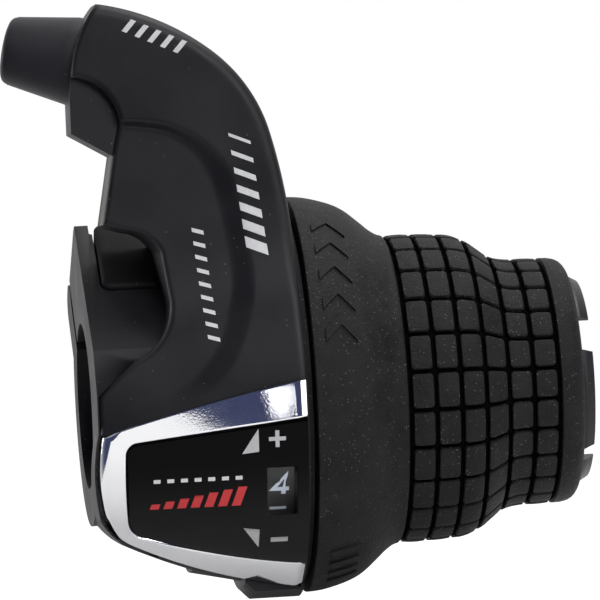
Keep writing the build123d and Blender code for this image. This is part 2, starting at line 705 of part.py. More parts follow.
def grip_profile():
    """Outside of the grip as (x, radius) points: bell, waist, step down and slim end."""
    s = GRIP_LENGTH / 37.4
    return [
        (BELL_X, BELL_R), (BELL_X + 4.1 * s, BELL_R - 0.7), (BELL_X + 7.6 * s, BELL_R - 2.3),
        (BELL_X + 10.2 * s, WAIST_R + 1.4), (BELL_X + 12.6 * s, WAIST_R), (BELL_X + 18.6 * s, WAIST_R - 0.2),
        (BELL_X + 21.6 * s, WAIST_R - 0.5), (BELL_X + 23.9 * s, WAIST_R - 1.3),
        (BELL_X + 25.6 * s, END_R + 1.4), (BELL_X + 26.9 * s, END_R + 0.6),
        (BELL_X + 28.6 * s, END_R + 0.1), (BELL_X + 34.0 * s, END_R),
        (GRIP_END_X - END_EDGE, END_R), (GRIP_END_X, END_R - END_EDGE)]


def profile_r(x):
    """Radius of the grip's outside at a place along it, on the straight between two profile points."""
    points = grip_profile()
    for (x0, r0), (x1, r1) in zip(points, points[1:]):
        if x0 <= x <= x1:
            return r0 + (r1 - r0) * (x - x0) / (x1 - x0)
    return END_R


def sleeve_profile():
    """Outside of the sleeve under the rubber, as (x, radius) points: hub, waist and tube in plain steps."""
    hub_end = BELL_X + GRIP_LENGTH * 0.2
    waist_end = BELL_X + GRIP_LENGTH * 0.6
    waist_r = WAIST_R - RUBBER_T
    return [
        (BELL_X, NUMBER_R), (hub_end, NUMBER_R), (hub_end, waist_r), (waist_end, waist_r),
        (waist_end, SLEEVE_R), (GRIP_END_X, SLEEVE_R)]


def grip_sleeve():
    """Sleeve on the bar tube, with keys, a hollow hub under the bell and tabs at its end."""
    hollow_r = BAND_SEAT_R - HUB_WALL
    hollow_end = BELL_X + GRIP_LENGTH * 0.12
    shoulder_x = CIRCLIP_X - RUN_CLEARANCE
    end_bore_r = TUBE_R + CIRCLIP_LAND + RUN_CLEARANCE
    sleeve = turned(
        (SLEEVE_X, SLEEVE_BORE_R), (SLEEVE_X, SLEEVE_R), (NUMBER_X, SLEEVE_R), (hollow_end, SLEEVE_R),
        (hollow_end, hollow_r), (NUMBER_X, hollow_r), (NUMBER_X, BAND_SEAT_R), (HUB_X, BAND_SEAT_R),
        (HUB_X, NUMBER_R), *sleeve_profile()[1:], (TAB_X, SLEEVE_R - TAB_EDGE), (TAB_X, end_bore_r),
        (shoulder_x, end_bore_r), (shoulder_x, SLEEVE_BORE_R))
    for k in range(KEY_COUNT):
        key_length = NUMBER_X - SLEEVE_X
        key = Pos(SLEEVE_X + key_length / 2, -(SLEEVE_R + KEY_R - KEY_H) / 2, 0)
        key *= Box(key_length, KEY_R - SLEEVE_R + KEY_H, KEY_W)
        sleeve += at_angle(k * 360 / KEY_COUNT) * key
    for k in range(TAB_COUNT):
        width = TAB_KEY_GAP if k == 0 else TAB_GAP
        gap = Pos(TAB_X, -SLEEVE_R, 0) * Box(2 * TAB_L, SLEEVE_R, 2 * SLEEVE_R * sin(radians(width / 2)))
        sleeve -= at_angle(TAB_TURN + k * 360 / TAB_COUNT) * gap
    return sleeve


def cross_polygon(x, radius):
    """Polygon round the bar's axis with one flat for each block and its corners in the grooves."""
    plane = Plane(origin=(x, 0, 0), x_dir=(0, -1, 0), z_dir=(1, 0, 0))
    return plane * RegularPolygon(radius, BLOCK_ROWS, rotation=-BLOCK_TURN)


def grip_block(x0, x1):
    """One drafted block between two grooves, at the front, its foot below the sunk field."""
    r0 = profile_r(x0)
    r1 = profile_r(x1)
    slope = atan((r1 - r0) / (x1 - x0))
    length = hypot(x1 - x0, r1 - r0)
    width = (r0 + r1) * tan(radians(180 / BLOCK_ROWS)) - GROOVE_W
    depth = GROOVE_DEPTH + BLOCK_ROOT
    seat = Plane(
        origin=((x0 + x1) / 2 + depth * sin(slope), depth * cos(slope) - (r0 + r1) / 2, 0),
        x_dir=(cos(slope), -sin(slope), 0), z_dir=(-sin(slope), -cos(slope), 0))
    return extrude(seat * Rectangle(length, width), depth, taper=BLOCK_DRAFT)


def rubber_grip():
    """Rubber with a smooth bell and rings of drafted blocks standing on a sunk field of flats."""
    first = BELL_X + FIRST_GROOVE - GROOVE_W / 2
    last = BELL_X + LAST_GROOVE + GROOVE_W / 2
    bell = [p for p in grip_profile() if p[0] < first] + [(first, profile_r(first))]
    end = [(last, profile_r(last))] + [p for p in grip_profile() if p[0] > last]
    body = turned((BELL_X, 0), *bell, (first, 0)) + turned((last, 0), *end, (GRIP_END_X, 0))
    pitch = (LAST_GROOVE - FIRST_GROOVE) / BLOCK_COLUMNS
    grooves = [BELL_X + FIRST_GROOVE + column * pitch for column in range(BLOCK_COLUMNS + 1)]
    stations = [first, *grooves[1:-1], last]
    blocks = []
    for column in range(BLOCK_COLUMNS):
        x0, x1 = stations[column:column + 2]
        body += loft([cross_polygon(x, profile_r(x) - GROOVE_DEPTH) for x in (x0, x1)], ruled=True)
        block = grip_block(grooves[column] + GROOVE_W / 2, grooves[column + 1] - GROOVE_W / 2)
        for row in range(BLOCK_ROWS):
            blocks.append(at_angle(BLOCK_TURN + (row + 0.5) * 360 / BLOCK_ROWS) * block)
    body -= turned((BELL_X, 0), *sleeve_profile(), (GRIP_END_X, 0))
    return body.fuse(*blocks)


PIECES = [
    housing, front_cover, cable_outlet, cable_guide, hole_cap, indicator_bezel, indicator_lens,
    clamp_bolt, clamp_washer, clamp_nut, cover_screws, thrust_washer, dust_seal, retaining_ring,
    detent_spring, grip_sleeve, rubber_grip, cable_spool, number_ring, detent_ring,
]

os.makedirs("parts", exist_ok=True)
for piece in PIECES:
    export_step(piece(), f"parts/{piece.__name__}.step")
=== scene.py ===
# %% [markdown]
# # A twist grip shifter, dressed in Blender
# The solids of this shifter come from a CAD model: a split clamp, a drum with a cable arm, a gear
# window in a bright frame, and a rubber grip that turns on the bar. This lesson gives them their looks.
# Every new piece is a surface worked out with numpy on a grid of two parameters, so its shape can be
# read as a formula. The bar's axis is X, the rider looks along +Y, and the cable arm rises along +Z.

from math import cos, pi, radians, sin, tan

import bmesh
import bpy
import numpy as np
from mathutils import Matrix, Vector


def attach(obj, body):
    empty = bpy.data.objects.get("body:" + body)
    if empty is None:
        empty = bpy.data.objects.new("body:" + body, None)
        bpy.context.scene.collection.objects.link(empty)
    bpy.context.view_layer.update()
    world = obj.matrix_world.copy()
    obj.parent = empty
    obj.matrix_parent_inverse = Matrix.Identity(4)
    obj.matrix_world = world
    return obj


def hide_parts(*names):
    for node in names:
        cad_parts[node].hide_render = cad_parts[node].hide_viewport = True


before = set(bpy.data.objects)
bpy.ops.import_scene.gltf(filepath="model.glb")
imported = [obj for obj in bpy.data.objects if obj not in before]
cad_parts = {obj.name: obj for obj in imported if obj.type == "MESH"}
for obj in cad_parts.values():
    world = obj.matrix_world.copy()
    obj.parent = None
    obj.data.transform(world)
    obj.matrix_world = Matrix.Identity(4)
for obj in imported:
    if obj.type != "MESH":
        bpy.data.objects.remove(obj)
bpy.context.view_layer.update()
MM = 0.001

# %% [markdown]
# ## Meshes from arrays
# A mesh can be made face by face in bmesh, or from whole arrays. Arrays are chosen, because a shape is
# then one expression, with no loop over its points. Two builders are enough for this object: a slab
# between two grids, for skins and plates, and a ring that closes on itself both ways, for what is round.

# %% Builders for closed meshes
def grid_faces(rows, columns, wrap=0):
    """Quads of a grid: each joins point (i, j) to its three neighbours in the next row and column."""
    i, j = np.meshgrid(np.arange(rows - 1 + wrap), np.arange(columns - 1 + wrap), indexing="ij")
    down = (i + 1) % rows
    right = (j + 1) % columns
    quads = np.stack([i * columns + j, down * columns + j, down * columns + right, i * columns + right], -1)
    return quads.reshape(-1, 4)


def slab_arrays(top, bottom):
    """Closed solid between two grids of the same size: both skins, and a wall round their border."""
    rows, columns = top.shape[:2]
    skin = grid_faces(rows, columns)
    index = np.arange(rows * columns).reshape(rows, columns)
    rim = np.concatenate([index[0, :-1], index[:-1, -1], index[-1, :0:-1], index[:0:-1, 0]])
    after = np.roll(rim, -1)
    low = rows * columns
    wall = np.stack([rim, after, after + low, rim + low], -1)
    points = np.concatenate([top.reshape(-1, 3), bottom.reshape(-1, 3)])
    return points, np.concatenate([skin, skin[:, ::-1] + low, wall[:, ::-1]])


def ring_arrays(grid):
    """Closed solid from a grid that comes round to its start both ways, as a bent tube does."""
    return grid.reshape(-1, 3), grid_faces(*grid.shape[:2], wrap=1)


def joined(parts):
    """Several (points, quads) pairs as one pair, each part's indices moved past the earlier points."""
    starts = np.cumsum([0] + [len(points) for points, _ in parts[:-1]])
    quads = [faces + start for (_, faces), start in zip(parts, starts)]
    return np.concatenate([points for points, _ in parts]), np.concatenate(quads)


def outward(points, quads):
    """Quads turned so that the volume inside, a sum over faces of corner triple products, is positive."""
    a, b, c, d = (points[quads[:, k]] for k in range(4))
    volume = np.sum(a * np.cross(b, c)) + np.sum(a * np.cross(c, d))
    return quads if volume > 0 else quads[:, ::-1]


def add_piece(name, points, quads, finish, body, slot, replaced=(), sharp=40):
    """Puts arrays in millimetres into a mesh object, which dress() then shades and seats on its body."""
    quads = np.ascontiguousarray(outward(points, quads))
    mesh = bpy.data.meshes.new(name)
    mesh.vertices.add(len(points))
    mesh.vertices.foreach_set("co", np.asarray(points * MM, np.float32).ravel())
    mesh.loops.add(quads.size)
    mesh.loops.foreach_set("vertex_index", quads.astype(np.int32).ravel())
    mesh.polygons.add(len(quads))
    mesh.polygons.foreach_set("loop_start", np.arange(0, quads.size, 4, dtype=np.int32))
    mesh.update(calc_edges=True)
    mesh.validate()
    return dress(bpy.data.objects.new(name, mesh), finish, body, replaced, sharp)


def dress(piece, finish, body, replaced=(), sharp=40):
    """Links a piece, gives it its finish and its smooth shading, and hides the CAD parts that it replaces.
    """
    mesh = piece.data
    mesh.polygons.foreach_set("use_smooth", np.ones(len(mesh.polygons), bool))
    mesh.set_sharp_from_angle(angle=radians(sharp))
    mesh.materials.clear()
    mesh.materials.append(finish)
    bpy.context.scene.collection.objects.link(piece)
    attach(piece, body)
    if replaced:
        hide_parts(*replaced)
    print(f"{piece.name}: {len(mesh.vertices)} points, {len(mesh.polygons)} faces on {body}")
    return piece


SAME_POINT = 2e-6
SAME_PLANE = radians(0.6)


def cad_copy(node, finish, body, sharp=30):
    """A CAD node's mesh with its loose triangles merged, smooth on round faces and flat on flat ones."""
    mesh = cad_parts[node].data.copy()
    mesh.name = node + "_dressed"
    work = bmesh.new()
    work.from_mesh(mesh)
    bmesh.ops.remove_doubles(work, verts=work.verts, dist=SAME_POINT)
    bmesh.ops.dissolve_limit(work, angle_limit=SAME_PLANE, verts=work.verts, edges=work.edges)
    work.to_mesh(mesh)
    work.free()
    piece = dress(bpy.data.objects.new(node + "_dressed", mesh), finish, body, (node,), sharp)
    flat = piece.modifiers.new("flat faces stay flat", "WEIGHTED_NORMAL")
    flat.weight = 100
    flat.keep_sharp = True
    return piece


# %% [markdown]
# ## Shader sums as Python sums
# A procedural finish is a tree of nodes. Wired by hand, a small sum such as 1 - mask * 0.3 takes many
# lines. Here a socket is wrapped in a class whose operators add Math nodes, and one method makes any
# other node, so a finish reads like the formula that it is.

# %% Sockets with operators, and a finish
class Signal:
    """A node's output that can be added, multiplied and compared like a number."""

    def __init__(self, finish, socket):
        self.finish = finish
        self.socket = socket

    def maths(self, operation, *values):
        """A Math node on some values, each a signal or a number."""
        return self.finish.node("ShaderNodeMath", {"operation": operation}, dict(enumerate(values)))

    def sibling(self, output):
        """Another output of the node that this one comes from."""
        return Signal(self.finish, self.socket.node.outputs[output])

    def __add__(self, other):
        return self.maths("ADD", self, other)

    def __sub__(self, other):
        return self.maths("SUBTRACT", self, other)

    def __rsub__(self, other):
        return self.maths("SUBTRACT", other, self)

    def __mul__(self, other):
        return self.maths("MULTIPLY", self, other)

    def __gt__(self, other):
        return self.maths("GREATER_THAN", self, other)

    def __lt__(self, other):
        return self.maths("LESS_THAN", self, other)

    __radd__ = __add__


SPECK_RADIUS = 0.28
# The Mix node has sockets of the same names for every kind of data. These are the ones for colours.
COLOUR_A, COLOUR_B, COLOUR_OUT = 6, 7, 2


class Finish:
    """One material: a Principled shader and the nodes that feed it."""

    def __init__(self, name, **constants):
        self.material = bpy.data.materials.new(name)
        self.material.use_nodes = True
        self.tree = self.material.node_tree
        self.shader = self.tree.nodes["Principled BSDF"]
        self.set(**constants)

    def node(self, kind, settings=None, inputs=None, output=0):
        """Any node: its settings are set first, then each input gets a link or a value."""
        node = self.tree.nodes.new(kind)
        for name, value in (settings or {}).items():
            setattr(node, name, value)
        for key, value in (inputs or {}).items():
            self.feed(node.inputs[key], value)
        return Signal(self, node.outputs[output])

    def feed(self, socket, value):
        """Links a signal to a socket, or sets the socket's own value."""
        if isinstance(value, Signal):
            self.tree.links.new(value.socket, socket)
        else:
            socket.default_value = value

    def place(self):
        """Object coordinates in metres."""
        return self.node("ShaderNodeTexCoord", output="Object")

    def noise(self, size_mm, detail=2.0):
        """Cloudy noise from 0 to 1 whose patches are about this many millimetres across."""
        inputs = {"Vector": self.place(), "Scale": 1 / (size_mm * MM), "Detail": detail}
        return self.node("ShaderNodeTexNoise", {}, inputs)

    def specks(self, size_mm, share):
        """Mask of sparse dots: near the centres of the Voronoi cells whose random value is high."""
        inputs = {"Vector": self.place(), "Scale": 1 / (size_mm * MM)}
        distance = self.node("ShaderNodeTexVoronoi", {}, inputs, output="Distance")
        chance = self.node("ShaderNodeSeparateColor", {}, {0: distance.sibling("Color")})
        return (distance < SPECK_RADIUS) * (chance > 1 - share)

    def mix(self, factor, first, second):
        """Colour that goes from the first to the second as the factor goes from 0 to 1."""
        colours = {0: factor, COLOUR_A: first, COLOUR_B: second}
        return self.node("ShaderNodeMix", {"data_type": "RGBA"}, colours, output=COLOUR_OUT)

    def grain(self, height, strength, distance_mm):
        """Bump from a height signal into the shader's normal."""
        inputs = {"Height": height, "Strength": strength, "Distance": distance_mm * MM}
        self.set(Normal=self.node("ShaderNodeBump", {}, inputs))

    def set(self, **signals):
        """Feeds signals or plain values to the shader's named sockets."""
        for socket, value in signals.items():
            self.feed(self.shader.inputs[socket.replace("_", " ")], value)


def shade(value, tint=(1.0, 1.0, 1.0)):
    """Opaque colour of a brightness, with a tint."""
    return (value * tint[0], value * tint[1], value * tint[2], 1.0)


# %% [markdown]
# ## Finishes
# The mouldings are matte black with a fine spark-eroded grain, cloudy in their sheen and lightly dusted.
# The rubber is a warmer black with pale specks. Its grooves get a blacker finish without sheen, which
# is painted shade for the shade that falls in them. The frame is bright plating, and the lens is glossy
# black. Images could give these finishes, but each would be tied to one mesh. Noise in object coordinates
# fits any piece at its true scale: grain goes into bump, clouds into roughness, and dust into colour.

# %% Black mouldings
MOULD_SHEEN = 0.24
CLOUD_MM = 8.0
CLOUD_SWING = 0.32
GRAIN_MM = 0.16
GRAIN_SWING = 0.04
GRAIN_STRENGTH = 0.35
GRAIN_DEPTH = 0.03
MOTE_MM = 0.34
MOTE_COVER = 0.35
GREY_DUST = shade(0.2)


def black_moulding(name, value, roughness, dust=0.006):
    """Matte black plastic: cloudy colour and sheen, fine grain in bump and roughness, and sparse dust."""
    finish = Finish(name, Specular_IOR_Level=MOULD_SHEEN)
    cloud = finish.noise(CLOUD_MM, 4.0)
    fine = finish.noise(GRAIN_MM, 1.0)
    tone = finish.mix(cloud, shade(value * 0.3, (1, 1, 1.04)), shade(value * 1.8, (1, 1, 1.12)))
    motes = finish.specks(MOTE_MM, dust)
    finish.set(
        Base_Color=finish.mix(motes * MOTE_COVER, tone, GREY_DUST),
        Roughness=roughness - CLOUD_SWING / 2 + cloud * CLOUD_SWING + fine * GRAIN_SWING)
    finish.grain(fine, GRAIN_STRENGTH, GRAIN_DEPTH)
    return finish.material


cover_black = black_moulding("cover_black", 0.0098, 0.46)
outlet_black = black_moulding("outlet_black", 0.018, 0.46)
clamp_black = black_moulding("clamp_black", 0.0095, 0.52, dust=0.012)
# The lid's black is darker than the other mouldings' blacks: painted shade, as the arm above shades the
# lid.
cap_shaded_black = black_moulding("cap_shaded_black", 0.003, 0.62)
sleeve_black = black_moulding("sleeve_black", 0.011, 0.36)

# %% Rubber
def cloudy(name, low, high, size_mm=0.8, detail=3.0, **constants):
    """Plain finish whose colour drifts between two shades, in clouds of about this size."""
    finish = Finish(name, **constants)
    finish.set(Base_Color=finish.mix(finish.noise(size_mm, detail), low, high))
    return finish.material


RUBBER_BLACK = shade(0.0008, (1.03, 1, 0.97))
RUBBER_GREY = shade(0.0135, (1.04, 1, 0.95))
CHALK = shade(0.16, (1.05, 1, 0.92))
rubber = Finish("grip_rubber", Specular_IOR_Level=0.2)
rubber_cloud = rubber.noise(1.8, 4.0)
rubber_fine = rubber.noise(0.3, 2.0)
rubber_mottle = rubber.noise(6.0, 3.0)
grey_share = rubber_cloud * 0.9 + rubber_fine * 0.7 + rubber_mottle * 1.4 - 1.05
rubber_tone = rubber.mix(grey_share, RUBBER_BLACK, RUBBER_GREY)
rubber_motes = rubber.specks(0.26, 0.08) * 0.6
rubber.set(
    Base_Color=rubber.mix(rubber_motes, rubber_tone, CHALK),
    Roughness=0.47 + rubber_cloud * 0.14 + rubber_mottle * 0.26)
rubber.grain(rubber_fine * 0.6 + rubber_cloud * 0.8, 1.0, 0.2)
grip_rubber = rubber.material
# The grooves' blacker, sheenless rubber is painted shade: the shade that falls in the grooves, painted into
# their colour.
groove_painted_shade = cloudy(
    "groove_painted_shade", shade(0.0008), shade(0.003), Roughness=0.9, Specular_IOR_Level=0.02)

# %% Bright plating, steel and pale plastic
plating = Finish("bright_plating", Base_Color=shade(0.82, (1, 1, 1.01)), Metallic=1.0)
plating.set(Roughness=0.05 + plating.noise(4.0, 3.0) * 0.08)
plating.grain(plating.noise(0.25, 2.0) * 1.2 + plating.noise(3.0, 1.0) * 2.5, 0.3, 0.02)
bright_plating = plating.material

steel = Finish("zinc_steel", Metallic=1.0)
steel_cloud = steel.noise(1.2, 3.0)
steel.set(
    Base_Color=steel.mix(steel_cloud, shade(0.42, (1, 1, 1.03)), shade(0.6, (1, 1, 1.03))),
    Roughness=0.28 + steel_cloud * 0.16)
zinc_steel = steel.material

pale_liner = cloudy(
    "pale_liner", shade(0.6, (1, 1, 0.96)), shade(0.72, (1, 1, 0.97)), 2.0, 2.0, Roughness=0.45)
number_band = cloudy("number_band", shade(0.14), shade(0.18), 1.5, 2.0, Roughness=0.45)

# %% Printing inks, two of them glowing with painted light
DRY_INK = {"Roughness": 0.42}
# The inks of the gear numbers and dashes glow: painted light that makes up for the shade of the deep
# window.
GLOWING_INK = {"Roughness": 0.42, "Emission_Color": (0.78, 0.85, 1.0, 1)}
white_ink = cloudy("white_ink", shade(0.5), shade(0.66), **DRY_INK)
silver_ink = cloudy("silver_ink", shade(0.36), shade(0.46), **DRY_INK)
red_ink = cloudy("red_ink", (0.42, 0.012, 0.015, 1), (0.56, 0.022, 0.024, 1), **DRY_INK)
glowing_grey_ink = cloudy("glowing_grey_ink", shade(0.55), shade(0.65), Emission_Strength=0.2, **GLOWING_INK)
glowing_number_ink = cloudy(
    "glowing_number_ink", (0.8, 0.86, 0.98, 1), (0.86, 0.92, 1.0, 1), Emission_Strength=0.32, **GLOWING_INK)
print("finishes", len(bpy.data.materials))

# %% [markdown]
# ## The lines of the front view
# The cover, the frame and the lens are drawn in the front view, x along the bar and z up, as straight
# runs and arcs. A complex number x + iz holds a point, so that turning is a multiplication. The depth of
# the skin in front of the bar's axis is then a formula of x and z.

# %% Arcs and paths as complex arrays
def line(a, b, count=40):
    """Straight run between two points."""
    return complex(*a) + np.linspace(0, 1, count) * (complex(*b) - complex(*a))


def arc(a, b, c, count=60):
    """Circle through three points: its centre from their ratio, then a turn from the first to the last."""
    a, b, c = complex(*a), complex(*b), complex(*c)
    ratio = (c - a) / (b - a)
    centre = a + (b - a) * (ratio - abs(ratio) ** 2) / (2j * ratio.imag)
    sweep = np.angle((b - centre) / (a - centre)) + np.angle((c - centre) / (b - centre))
    return centre + (a - centre) * np.exp(1j * sweep * np.linspace(0, 1, count))


def tangent_arc(start, end, heading, count=80):
    """Arc that leaves start along a heading: the chord to a point turns half as much as the arc does."""
    chord = complex(*end) - start
    half = np.angle(chord / heading)
    t = np.linspace(0, 1, count)
    points = start + heading * np.exp(1j * half * t) * abs(chord) * np.sin(half * t) / np.sin(half)
    return points, heading * np.exp(2j * half) / abs(heading)


def along(path):
    """Length along a path at each of its points."""
    return np.concatenate([[0], np.cumsum(np.abs(np.diff(path)))])


def sampled(path, count, start=0.0, end=1.0):
    """Evenly spaced points on a share of a path's length."""
    s = along(path)
    return np.interp(np.linspace(start, end, count) * s[-1], s, path)


def nearest(path, points):
    """Index of the path's point that is closest to each point of a grid, found in batches."""
    batches = np.array_split(points.ravel(), 40)
    index = np.concatenate([np.abs(batch[:, None] - path).argmin(1) for batch in batches])
    return index.reshape(points.shape)


def distance_to(path, points):
    """Shortest distance from each point of a grid to the points of a path."""
    return np.abs(points - path[nearest(path, points)])


def eased(count):
    """Steps from 0 to 1 that start close together: one less the cosine of an even turn."""
    return 1 - np.cos(np.linspace(0, pi / 2, count))


def ramp(value, low, high):
    """Smooth step from 0 at low to 1 at high."""
    t = np.clip((value - low) / (high - low), 0, 1)
    return t * t * (3 - 2 * t)


# %% Depth of the front skin
MOUTH_X = 27.3
MOUTH_R = 27.0
CONE_SLOPE = 0.222
ARM_FRONT = 19.8
ARM_FRONT_X = 15.0
ARM_SWEEP = radians(6)
ARM_BLEND = 22.0
ARM_SPLIT = 10.5


def leg(longest, other, least=0.0):
    """Third side of a right triangle, with a least square where the sides don't make one."""
    return np.sqrt(np.maximum(longest ** 2 - other ** 2, least))


def cone_radius(x):
    """Radius of the skin round the bar, growing towards the grip."""
    return MOUTH_R - CONE_SLOPE * (MOUTH_X - x)


def front_depth(x, z):
    """Depth of the front skin: the cone below, the arm's swept plane above, an arc hollow between."""
    radius = cone_radius(x)
    plane = ARM_FRONT + (x - ARM_FRONT_X) * tan(ARM_SWEEP)
    centre_z = leg(radius + ARM_BLEND, plane + ARM_BLEND)
    touch_z = centre_z * radius / (radius + ARM_BLEND)
    hollow = plane + ARM_BLEND - leg(ARM_BLEND, z - centre_z)
    return np.where(z < touch_z, leg(radius, z), np.where(z < centre_z, hollow, plane))


def placed(plan, depth):
    """Points in space from front-view points and their depth in front of the bar's axis."""
    return np.stack([plan.real, -depth, plan.imag], -1)


def rounding(gap, radius):
    """Drop of a rounded edge at a distance from it: the sagitta of a quarter circle."""
    return radius - leg(radius, radius - np.minimum(gap, radius))


def ruled(inner, outer, shares):
    """Grid between two matched paths: each row runs straight from the inner point to the outer one."""
    return inner[:, None] + (outer - inner)[:, None] * shares


# %% [markdown]
# ## The front cover
# On the real part this is one injection moulding: an arm that bends over at its top, with a broad raised
# band down its outer side and a dished panel inside the band. It could be sculpted, or be a subdivision
# cage. A height field over a ruled grid is chosen: the outline stays exact, the crease is a smooth step
# of the distance to one curve, and the rounded edges are quarter circles of the distance to the outline.

# %% Outline of the cover
MOUTH_STOPS = [2.4, 5.4, 9.6, 16.0]
FLANK_STOPS = [0, 0.42, 0.58, 1.0]
COVER_CORNER = (0.2, -4.0)
bezel_top = arc(COVER_CORNER, (12.83, -0.6), (MOUTH_X, MOUTH_STOPS[0]), 120)
ARM_TIP = (3.0, 53.25)
TIP_LOW = (-0.85, 43.7)
PARTING_END = (5.1, 37.5)
ARM_UNDER = (4.05, 33.1)
ARM_HEEL = (2.3, 24.0)
flank, flank_way = tangent_arc(complex(MOUTH_X, MOUTH_STOPS[-1]), (MOUTH_X - 2.4, 35.2), 1j)
elbow, elbow_way = tangent_arc(flank[-1], (MOUTH_X - 9.2, 46.1), flank_way)
brow, _ = tangent_arc(elbow[-1], ARM_TIP, elbow_way)
notch = np.concatenate([arc((9.7, 20.0), (8.4, 21.8), (5.6, 23.0)), line((5.6, 23.0), ARM_HEEL)[1:]])
outer_runs = [line((MOUTH_X, low), (MOUTH_X, high)) for low, high in zip(MOUTH_STOPS, MOUTH_STOPS[1:])]
outer_runs += [sampled(flank, 40, low, high) for low, high in zip(FLANK_STOPS, FLANK_STOPS[1:])]
outer_runs += [sampled(elbow, 40, 0, 0.5), np.concatenate([sampled(elbow, 40, 0.5, 1.0), brow[1:]])]
inner_runs = [
    line(COVER_CORNER, (0.2, 1.4)), line((0.2, 1.4), (5.0, 5.6)), arc((5.0, 5.6), (9.0, 8.6), (10.5, 13.5)),
    line((10.5, 13.5), (9.7, 20.0)), notch, line(ARM_HEEL, ARM_UNDER),
    line(ARM_UNDER, PARTING_END), arc(PARTING_END, (3.6, 41.2), TIP_LOW),
]
tip = arc(TIP_LOW, (-0.3, 47.0), ARM_TIP)
RUN_COUNTS = [14, 18, 26, 26, 26, 28, 18, 64]


def matched(runs, counts):
    """One path from several runs, each with its own number of points and no doubled corner."""
    parts = [sampled(run, count) for run, count in zip(runs, counts)]
    return np.concatenate([part[:-1] for part in parts[:-1]] + [parts[-1]])


inner_path = matched(inner_runs, RUN_COUNTS)
outer_path = matched(outer_runs, RUN_COUNTS)
print("cover rows", len(inner_path), "arm top", round(outer_path.imag.max(), 2))

# %% The cover's grid
OUTER_ROUND = 1.6
INNER_ROUND = 0.7
END_ROUND = 0.5
MOUTH_ROUND = 0.9
BEZEL_EDGE = 0.25
EDGE_BAND = 1.3
width = np.abs(outer_path - inner_path)[:, None]
near_inner = eased(9) * INNER_ROUND * EDGE_BAND / width
near_outer = 1 - eased(9)[::-1] * OUTER_ROUND * EDGE_BAND / width
middle = near_inner[:, -1:] + (near_outer[:, :1] - near_inner[:, -1:]) * np.linspace(0, 1, 92)[1:-1]
shares = np.concatenate([near_inner, middle, near_outer], 1)
plan = ruled(inner_path, outer_path, shares)


def end_pull(target, row, reach):
    """Moves of the rows near one end that bring the end row to a target path, fading over some rows."""
    steps = along(target) / along(target)[-1]
    wanted = np.interp(shares[row], steps, target)
    fade = 1 - ramp(np.abs(np.arange(len(plan)) - (row % len(plan))), 0, reach)
    return fade[:, None] * (wanted - plan[row])


plan = plan + end_pull(bezel_top, 0, 26)
plan = plan + end_pull(tip, -1, 30)
print("cover grid", plan.shape)

# %% [markdown]
# The panel is deepest under the arm's end, where a harder lip shades it, and it runs out softly towards
# the flank. So the step's width grows along the crease, from about one millimetre to three.

# %% The dished panel and the rounded edges
def smooth_path(points, count):
    """Curve through a few points: cubic Hermite pieces whose slopes are half the neighbours' difference."""
    points = np.array([complex(*p) for p in points])
    slopes = np.gradient(points)
    t = np.linspace(0, len(points) - 1, count)
    k = np.minimum(t.astype(int), len(points) - 2)
    u = t - k
    start = (1 + 2 * u) * (1 - u) ** 2 * points[k] + u * (1 - u) ** 2 * slopes[k]
    return start + u * u * (3 - 2 * u) * points[k + 1] + u * u * (u - 1) * slopes[k + 1]


def crease_side(crease, points):
    """Signed distance to the crease, positive on the panel's side, and the share of it passed there."""
    spot = nearest(crease, points)
    way = np.gradient(crease)[spot]
    across = ((points - crease[spot]) * np.conj(way)).imag / np.abs(way)
    return -across, spot / len(crease)


CREASE = [
    (-1.0, 37.2), (5.0, 37.6), (12.8, 36.1), (18.3, 31.2),
    (20.6, 22.0), (20.6, 12.5), (15.3, 2.4), (3.0, -3.0)]
crease = smooth_path(CREASE, 500)
PANEL_DEPTH = 1.0
PANEL_DEEPER = 0.5
DEEPER_Z = (16, 36)
STEP_WIDTH = 0.9
STEP_GROWTH = 1.6
GROWTH_SHARES = (0.2, 0.5)
STEP_LEAD = 0.3
MOUTH_FADE_Z = (6, 22)


def dish(points):
    """Depth of the panel: deeper under the arm's end, and a smooth step across the crease."""
    gap, share = crease_side(crease, points)
    soft = STEP_WIDTH + STEP_GROWTH * ramp(share, *GROWTH_SHARES)
    deep = PANEL_DEPTH * (1 + PANEL_DEEPER * ramp(points.imag, *DEEPER_Z))
    return deep * ramp(gap, -STEP_LEAD * soft, soft)


outer_gap = distance_to(np.concatenate([outer_path, sampled(outer_path, 1500)]), plan)
inner_gap = distance_to(sampled(inner_path, 1500), plan)
outer_round = MOUTH_ROUND + (OUTER_ROUND - MOUTH_ROUND) * ramp(plan.imag, *MOUTH_FADE_Z)
front = front_depth(plan.real, plan.imag) - dish(plan)
front = front - rounding(outer_gap, outer_round) - rounding(inner_gap, INNER_ROUND)
front = front - rounding(distance_to(sampled(tip, 300), plan), END_ROUND)
front = front - rounding(distance_to(bezel_top, plan), BEZEL_EDGE)

CORE_STEPS = [(12.8, 16.2), (20.7, 21.2)]
CORE_R = 23.8
THINNEST = 0.4
core = np.select([plan.real < x for x, _ in CORE_STEPS], [r for _, r in CORE_STEPS], CORE_R)
back = np.minimum(np.maximum(ARM_SPLIT, leg(core, plan.imag)), front - THINNEST)
add_piece(
    "front_cover_skin", *slab_arrays(placed(plan, front), placed(plan, back)),
    cover_black, "housing", "black_moulding", ("front_cover",), sharp=50)

# %% [markdown]
# ## The rear moulding
# The clamp, the drum, the belly and the arm's back half are one moulding with plain faces, and the CAD
# solid already has their shape. A new mesh would only repeat it, so a merged copy is dressed.

